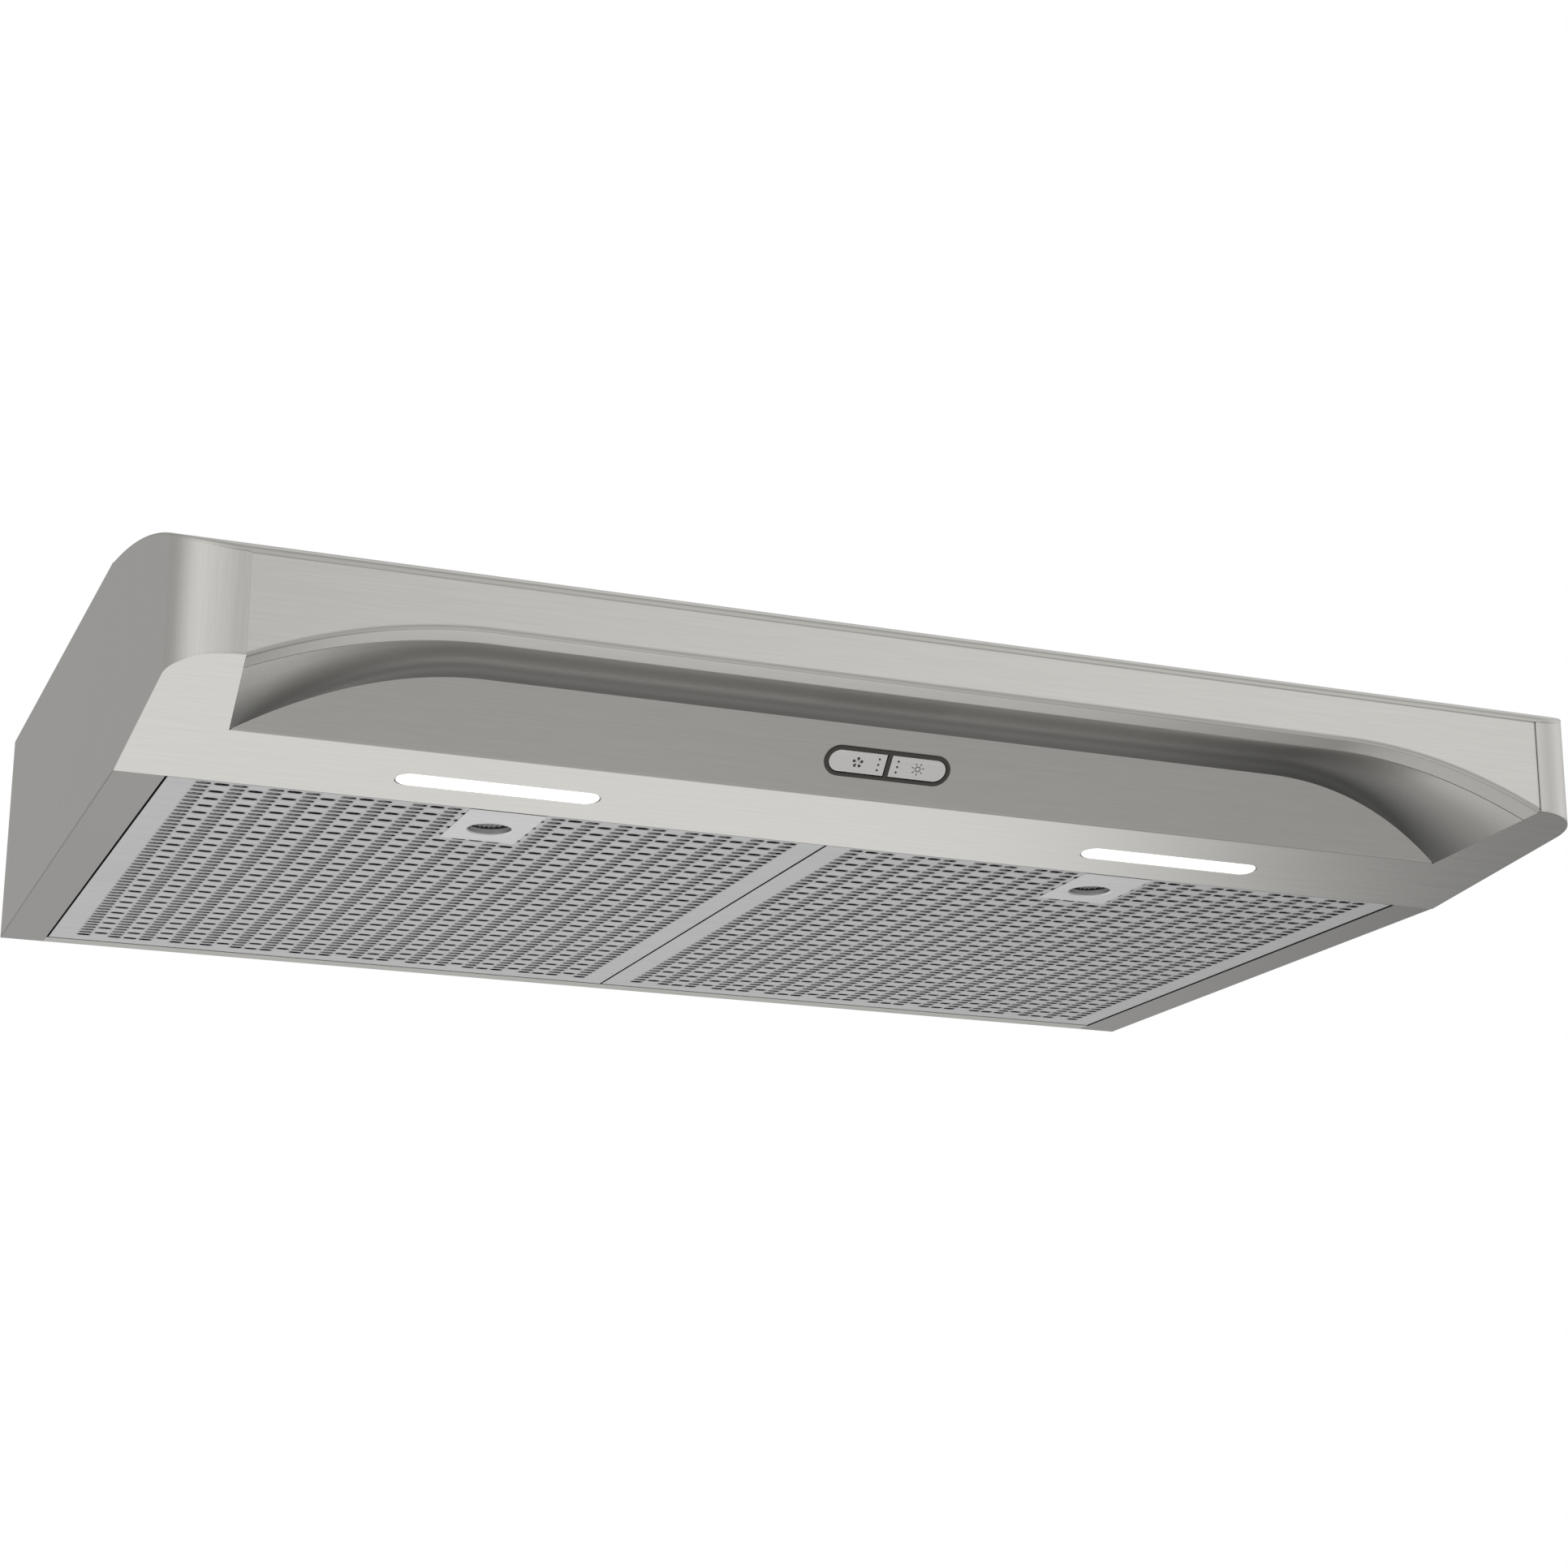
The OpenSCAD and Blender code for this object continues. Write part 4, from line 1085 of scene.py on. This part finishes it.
class Field(Tree):
    # a geometry tree that sets copies on a grid of points and joins them to the given mesh
    def __init__(self, name, inputs):
        super().__init__(bpy.data.node_groups.new(name, "GeometryNodeTree"))
        self.identifiers = {}
        for inputName, kind in {**gridInputs, **inputs}.items():
            self.identifiers[inputName] = self.addSocket(inputName, "INPUT", kind).identifier
        self.addSocket("Geometry", "OUTPUT", "Geometry")
        self.given = self.add("NodeGroupInput")
        columns, rows = self.named("Columns"), self.named("Rows")
        grid = self.add("GeometryNodeMeshGrid", None, {
            "Size X": self.named("Pitch Across") * (columns - 1.0),
            "Size Y": self.named("Pitch Deep") * (rows - 1.0), "Vertices X": columns, "Vertices Y": rows})
        self.points = self.out(self.add("GeometryNodeTransform", None, {
            "Geometry": self.out(grid), "Translation": self.named("Middle")}))
        self.copies = [self.named("Geometry")]

    def addSocket(self, name, direction, kind):
        kind = "NodeSocket" + kind
        return self.nodeTree.interface.new_socket(name=name, in_out=direction, socket_type=kind)

    def named(self, name):
        return self.out(self.given, name)

    def copy(self, instance, **sockets):
        sockets = {"Points": self.points, "Instance": instance, **sockets}
        self.copies.append(self.out(self.add("GeometryNodeInstanceOnPoints", None, sockets)))

    def finished(self, material):
        everything = self.add("GeometryNodeJoinGeometry")
        for part in self.copies:
            self.nodeTree.links.new(part.socket, everything.inputs[0])
        real = self.out(self.add("GeometryNodeRealizeInstances", None, {0: self.out(everything)}))
        coloured = self.add("GeometryNodeSetMaterial", None, {"Geometry": real, "Material": material})
        self.nodeTree.links.new(coloured.outputs[0], self.add("NodeGroupOutput").inputs[0])
        return self

    def lay(self, piece, values):
        field = piece.modifiers.new("field", "NODES")
        field.node_group = self.nodeTree
        for name, value in values.items():
            field[self.identifiers[name]] = value


def slotTree():
    # every fourth cell is plain, and cells that would lie under the latch plate are left out
    field = Field("slot field", {
        "Solid Every": "Float", "Plate Middle X": "Float", "Plate End Y": "Float",
        "Plate Half Width": "Float", "Slot Cell": "Object", "Plain Cell": "Object"})
    columns, rows = field.named("Columns"), field.named("Rows")
    pitchX, pitchY = field.named("Pitch Across"), field.named("Pitch Deep")
    where = field.add("ShaderNodeSeparateXYZ", None, {0: field.out(field.add("GeometryNodeInputPosition"))})
    x, y = field.out(where, 0), field.out(where, 1)
    beside = ((x - field.named("Plate Middle X")).size() + pitchX * 0.5) < field.named("Plate Half Width")
    underPlate = beside * ((y + pitchY * 0.5) < field.named("Plate End Y"))
    field.points = field.out(field.add("GeometryNodeDeleteGeometry", {"domain": "POINT"},
                                       {"Geometry": field.points, "Selection": underPlate}))
    centre = field.add("ShaderNodeSeparateXYZ", None, {0: field.named("Middle")})
    column = ((x - field.out(centre, 0)) / pitchX + (columns - 1.0) * 0.5).rounded()
    row = ((y - field.out(centre, 1)) / pitchY + (rows - 1.0) * 0.5).rounded()
    solid = (column + row * 2.0 + 1.0).remainder(field.named("Solid Every")) < 0.5
    for cellName, chosen in (("Plain Cell", solid), ("Slot Cell", 1.0 - solid)):
        cell = field.add("GeometryNodeObjectInfo", None, {"Object": field.named(cellName)})
        field.copy(field.out(cell, "Geometry"), Selection=chosen)
    return field.finished(filterMetal.material)


slotCell = cellMesh("slot cell", True)
plainCell = cellMesh("plain cell", False)
slotField = slotTree()


def filterFacePiece(sideName):
    low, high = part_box(sideName + "_filter_face")
    x0, x1 = low.x, high.x
    y0, y1 = low.y - corner.y, high.y - corner.y
    mesh, gy0 = borderMesh(x0, x1, y0, y1)
    piece = newPiece(sideName + "_filter_sheet", mesh, filterMetal)
    middleX = (x0 + x1) / 2
    middleY = gy0 + filters["rows"] * filters["pitchDeep"] / 2
    slotField.lay(piece, {
        "Columns": filters["across"], "Rows": filters["rows"], "Pitch Across": filters["pitchAcross"],
        "Pitch Deep": filters["pitchDeep"], "Middle": (middleX, middleY, 0.0),
        "Solid Every": float(filters["solidEvery"]), "Plate Middle X": middleX,
        "Plate End Y": y0 + filters["plateDeep"], "Plate Half Width": filters["plateWide"] / 2,
        "Slot Cell": slotCell, "Plain Cell": plainCell})
    flat = plainMesh(piece)
    piece.modifiers.clear()
    flat.transform(Matrix.Translation(corner))
    piece.data = flat
    flat.polygons.foreach_set("use_smooth", [False] * len(flat.polygons))
    return piece


def latchPlatePiece(sideName):
    low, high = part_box(sideName + "_latch_plate")
    x = (low.x + high.x) / 2
    y0 = low.y - corner.y
    half = filters["plateWide"] / 2
    outline = [(x - half, y0), (x + half, y0), (x + half, y0 + filters["plateDeep"]),
               (x - half, y0 + filters["plateDeep"])]
    radius = filters["holeRadius"] + filters["holeRoll"]
    steps = filters["holeSteps"]
    hole = discOutline(x, y0 + filters["holeY"], radius, steps)
    plate = platePiece(sideName + "_latch_cover", [outline, hole], plateMetal, 0.0, filters["plateThick"],
                       Matrix.Translation(corner), 0.00008)
    # the hole's rolled collar
    profile = [(radius - filters["holeRoll"] * math.sin(a), filters["holeRoll"] * (1 - math.cos(a)))
               for a in quarter(filters["holeRolls"])]
    profile.append((filters["holeRadius"], filters["collarDeep"]))
    turns = [2 * math.pi * k / steps for k in range(steps + 1)]
    holeY = y0 + filters["holeY"]
    points = [(x + r * math.cos(a), holeY + r * math.sin(a), z) for r, z in profile for a in turns]
    faces = gridFaces(len(profile), steps + 1)
    collar = sheetPiece("collar", [(points, faces, (0, 0, -1))], plateMetal, 0.0003)
    return joined(sideName + "_latch_cover", [plate, collar])


studs = {"pitch": 0.0026, "size": 0.0019, "high": 0.0005, "across": 11, "deep": 13}


def studTree():
    # small pyramids
    field = Field("stud field", {"Size": "Float", "High": "Float"})
    stud = field.add("GeometryNodeMeshCone", {"fill_type": "NGON"}, {
        "Vertices": 4, "Radius Top": field.named("Size") * 0.22, "Radius Bottom": field.named("Size") * 0.62,
        "Depth": field.named("High")})
    field.copy(field.out(stud), Rotation=(math.pi, 0.0, 0.0))
    return field.finished(latchMetal.material)


studField = studTree()


def latchPiece(sideName):
    # the slide, with a studded pad under the finger hole
    node = frame["nodes"][sideName + "_latch"]
    low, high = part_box(sideName + "_latch")
    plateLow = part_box(sideName + "_latch_plate")[0]
    slide = reworked(node.data.copy(), clearFlats(2), squareUp)
    piece = newPiece(sideName + "_latch_slide", slide, latchMetal)
    addBevel(piece, 0.0003)
    studField.lay(piece, {
        "Columns": studs["across"], "Rows": studs["deep"], "Pitch Across": studs["pitch"],
        "Pitch Deep": studs["pitch"], "Size": studs["size"], "High": studs["high"],
        "Middle": ((low.x + high.x) / 2, plateLow.y + filters["holeY"], low.z)})
    return settle(piece, 20.0)


for sideName in ("left", "right"):
    body = sideName + "_filter"
    fit(filterFacePiece(sideName), filterMetal, body, sideName + "_filter_face")
    fit(latchPlatePiece(sideName), plateMetal, body, sideName + "_latch_plate")
    fit(latchPiece(sideName), latchMetal, sideName + "_latch", sideName + "_latch")
for template in (slotCell, plainCell):
    bpy.data.objects.remove(template)
print("filters made")


softEdges = {nodeName: width for width, names in (
    (0.0003, "back_panel top_panel duct_collar damper_flap"), (0.0012, "motor"),
    (0.0015, "light_driver motor_capacitor"), (0.0006, "terminal_block"),
    (0.0003, "wiring_box wiring_box_cover inlet_plate"),
    (0.0005, "left_light_tray right_light_tray collar_screws wiring_cover_screws ground_screw"),
    (0.0003, "control_switches"),
) for nodeName in names.split()}


def softenedPiece(nodeName, width):
    # a copy of the piece with its sharp edges eased
    node = frame["nodes"][nodeName]
    piece = newPiece(nodeName + "_eased", reworked(node.data.copy(), clearFlats(1)), nodeFinishes[nodeName])
    addBevel(piece, width, 2, 50.0)
    return settle(piece, 35.0)


for nodeName, width in softEdges.items():
    body = frame["nodes"][nodeName]["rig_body"]
    fit(softenedPiece(nodeName, width), nodeFinishes[nodeName], body, nodeName)
print("eased", len(softEdges), "pieces")


view = {
    "place": (-0.6033, -1.6784, -0.5368),
    "yaw": 21.705,
    "pitch": 15.865,
    "roll": 0.204,
    "lens": 69.73,
}
cameraData = bpy.data.cameras.new("camera")
cameraData.lens = view["lens"]
cameraData.sensor_width = 36.0
cameraData.clip_start = 0.01
camera = placed("camera", cameraData)
camera.matrix_world = (Matrix.Translation(view["place"]) @ Matrix.Rotation(-math.radians(view["yaw"]), 4, "Z")
                       @ Matrix.Rotation(math.radians(90 + view["pitch"]), 4, "X")
                       @ Matrix.Rotation(math.radians(view["roll"]), 4, "Z"))
bpy.context.scene.camera = camera

# soft studio light: a dim surround, broad bright patches as (direction, strength, tightness),
# and softboxes as (strength, edges), each edge an axis with the reach over which light sets in
studio = {
    "floor": -1.15,
    "surround": 0.43,
    "patches": (
        ((-0.92, -0.30, 0.25), 0.58, 4.5),
        ((-0.35, -0.90, 0.27), 0.27, 14.0),
        ((0.50, -0.82, 0.26), 0.50, 18.0),
        ((0.35, -0.90, 0.25), 0.12, 2.0),
        ((0.95, 0.10, 0.27), 0.50, 7.0),
        ((0.10, -0.35, -0.93), 0.12, 7.0),
        ((0.30, -0.16, -0.94), 0.36, 30.0),
        ((0.30, 0.36, 0.88), 0.75, 14.0),
    ),
    "boxes": (
        (0.52, (((1.0, 0.0, 0.0), 0.55, 0.42), ((0.0, 0.0, 1.0), -0.22, -0.36), ((0.0, 1.0, 0.0), 0.2, 0.6))),
        (-0.17, (((1.0, 0.0, 0.0), 0.42, 0.56), ((0.0, 0.0, 1.0), -0.1, -0.3), ((0.0, 1.0, 0.0), 0.0, 0.3))),
    ),
}


def studioWorld():
    world = bpy.data.worlds.new("studio")
    world.use_nodes = True
    world.node_tree.nodes.clear()
    tree = Tree(world.node_tree)
    direction = tree.out(tree.add("ShaderNodeTexCoord"), "Generated")

    def along(aim):
        unit = tuple(Vector(aim).normalized())
        dot = tree.add("ShaderNodeVectorMath", {"operation": "DOT_PRODUCT"}, {0: direction, 1: unit})
        return tree.out(dot, "Value")

    light = studio["surround"]
    for aim, strength, tightness in studio["patches"]:
        light = along(aim).atLeast(0.0) ** tightness * strength + light
    for strength, edges in studio["boxes"]:
        box = strength
        for axis, dark, bright in edges:
            box = along(axis).between(dark, bright) * box
        light = light + box
    lit = tree.add("ShaderNodeBackground", None, {"Color": (1.0, 1.0, 0.995, 1), "Strength": light})
    backdrop = tree.add("ShaderNodeBackground", None, {"Color": (1, 1, 1, 1), "Strength": 1.0})
    seen = tree.out(tree.add("ShaderNodeLightPath"), "Is Camera Ray")
    both = tree.add("ShaderNodeMixShader", None, {0: seen, 1: tree.out(lit), 2: tree.out(backdrop)})
    output = tree.add("ShaderNodeOutputWorld")
    world.node_tree.links.new(both.outputs[0], output.inputs[0])
    bpy.context.scene.world = world


def paleFloor():
    mesh = bpy.data.meshes.new("floor")
    reach = 4.0
    mesh.from_pydata([(-reach, -reach, 0), (reach, -reach, 0), (reach, reach, 0), (-reach, reach, 0)],
                     [], [(0, 1, 2, 3)])
    mesh.transform(Matrix.Translation((0, 0, studio["floor"])))
    floor = placed("floor", mesh)
    paint = bpy.data.materials.new("floor paint")
    paint.use_nodes = True
    shader = paint.node_tree.nodes["Principled BSDF"]
    shader.inputs["Base Color"].default_value = (0.86, 0.86, 0.85, 1)
    shader.inputs["Roughness"].default_value = 0.8
    mesh.materials.append(paint)
    floor.visible_glossy = False


studioWorld()
paleFloor()
bpy.context.scene.view_settings.view_transform = "Standard"
print("camera, light and floor set")
